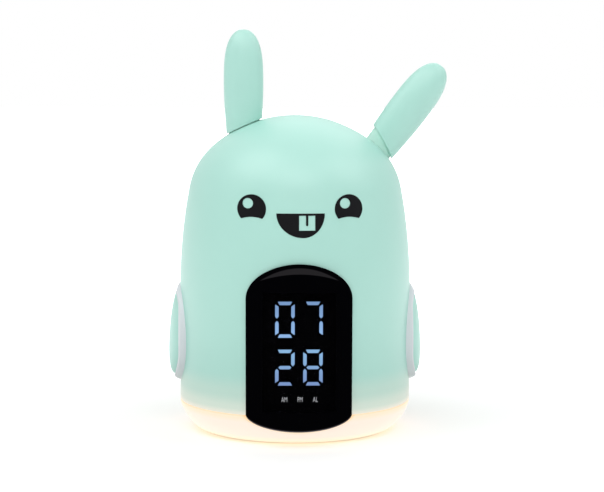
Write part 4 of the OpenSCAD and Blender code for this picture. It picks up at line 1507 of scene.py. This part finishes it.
# %% [markdown]
# ## The light
# Toys are shown in soft light from all round, with a little more from above. The world gives the even part
# and is brighter overhead, and five large softboxes give the rest. What the camera sees directly, in a shiny
# surface or through glass is plain white instead of the world's own brightness.

# %% Light the world
low_sky = 0.53
high_sky = 0.8
world = bpy.data.worlds.new("studio")
bpy.context.scene.world = world
world.use_nodes = True
nodes = world.node_tree.nodes
links = world.node_tree.links
ambient = nodes["Background"]
ambient.inputs["Color"].default_value = (1, 1, 1, 1)
upward = add(nodes, "ShaderNodeSeparateXYZ")
links.new(add(nodes, "ShaderNodeTexCoord").outputs["Generated"], upward.inputs["Vector"])
overhead = add(nodes, "ShaderNodeMapRange", interpolation_type="SMOOTHSTEP")
overhead.inputs["From Min"].default_value = 0.45
overhead.inputs["From Max"].default_value = 0.75
overhead.inputs["To Min"].default_value = low_sky
overhead.inputs["To Max"].default_value = high_sky
links.new(upward.outputs["Z"], overhead.inputs["Value"])
links.new(overhead.outputs["Result"], ambient.inputs["Strength"])
print("world:", low_sky, "at the sides,", high_sky, "overhead")

# %% Put up the white backdrop
backdrop = add(nodes, "ShaderNodeBackground", Color=(1, 1, 1, 1), Strength=1.0)
choose = add(nodes, "ShaderNodeMixShader")
links.new(backdrop_share(nodes, links), choose.inputs["Fac"])
links.new(ambient.outputs["Background"], choose.inputs[1])
links.new(backdrop.outputs["Background"], choose.inputs[2])
links.new(choose.outputs["Shader"], nodes["World Output"].inputs["Surface"])
print("backdrop strength:", backdrop.inputs["Strength"].default_value)

# %% Hang the softboxes
def softbox(name, location, target, width, height, watts):
    """A rectangular lamp at a place, aimed at a target. Sizes are in metres."""
    bpy.ops.object.select_all(action="DESELECT")
    bpy.ops.object.light_add(type="AREA", location=location)
    lamp = bpy.context.object
    lamp.name = name
    lamp.data.shape = "RECTANGLE"
    lamp.data.size = width
    lamp.data.size_y = height
    lamp.data.energy = watts
    away = Vector(location) - Vector(target)
    lamp.rotation_euler = away.to_track_quat("Z", "Y").to_euler()


softbox("left_top_softbox", (-0.7, -0.3, 1.2), (0, 0, 0.12), 0.9, 0.9, 4.7)
softbox("right_top_softbox", (0.9, -0.25, 1.0), (0, 0, 0.12), 0.8, 0.8, 3.2)
softbox("front_softbox", (0, -1, 1), (0, 0, 0.12), 0.9, 0.7, 3.9)
softbox("left_softbox", (-1.1, -0.45, 0.6), (0, 0, 0.1), 0.8, 0.9, 0.6)
softbox("rear_softbox", (0.3, 0.9, 1.1), (0, 0, 0.15), 1.0, 0.8, 1.8)
print("softboxes:", len(bpy.data.lights))

# %% [markdown]
# ## Finish
# The last step sets the scene's colour view to Standard.

# %% Set the colour view
scene = bpy.context.scene
scene.view_settings.view_transform = "Standard"
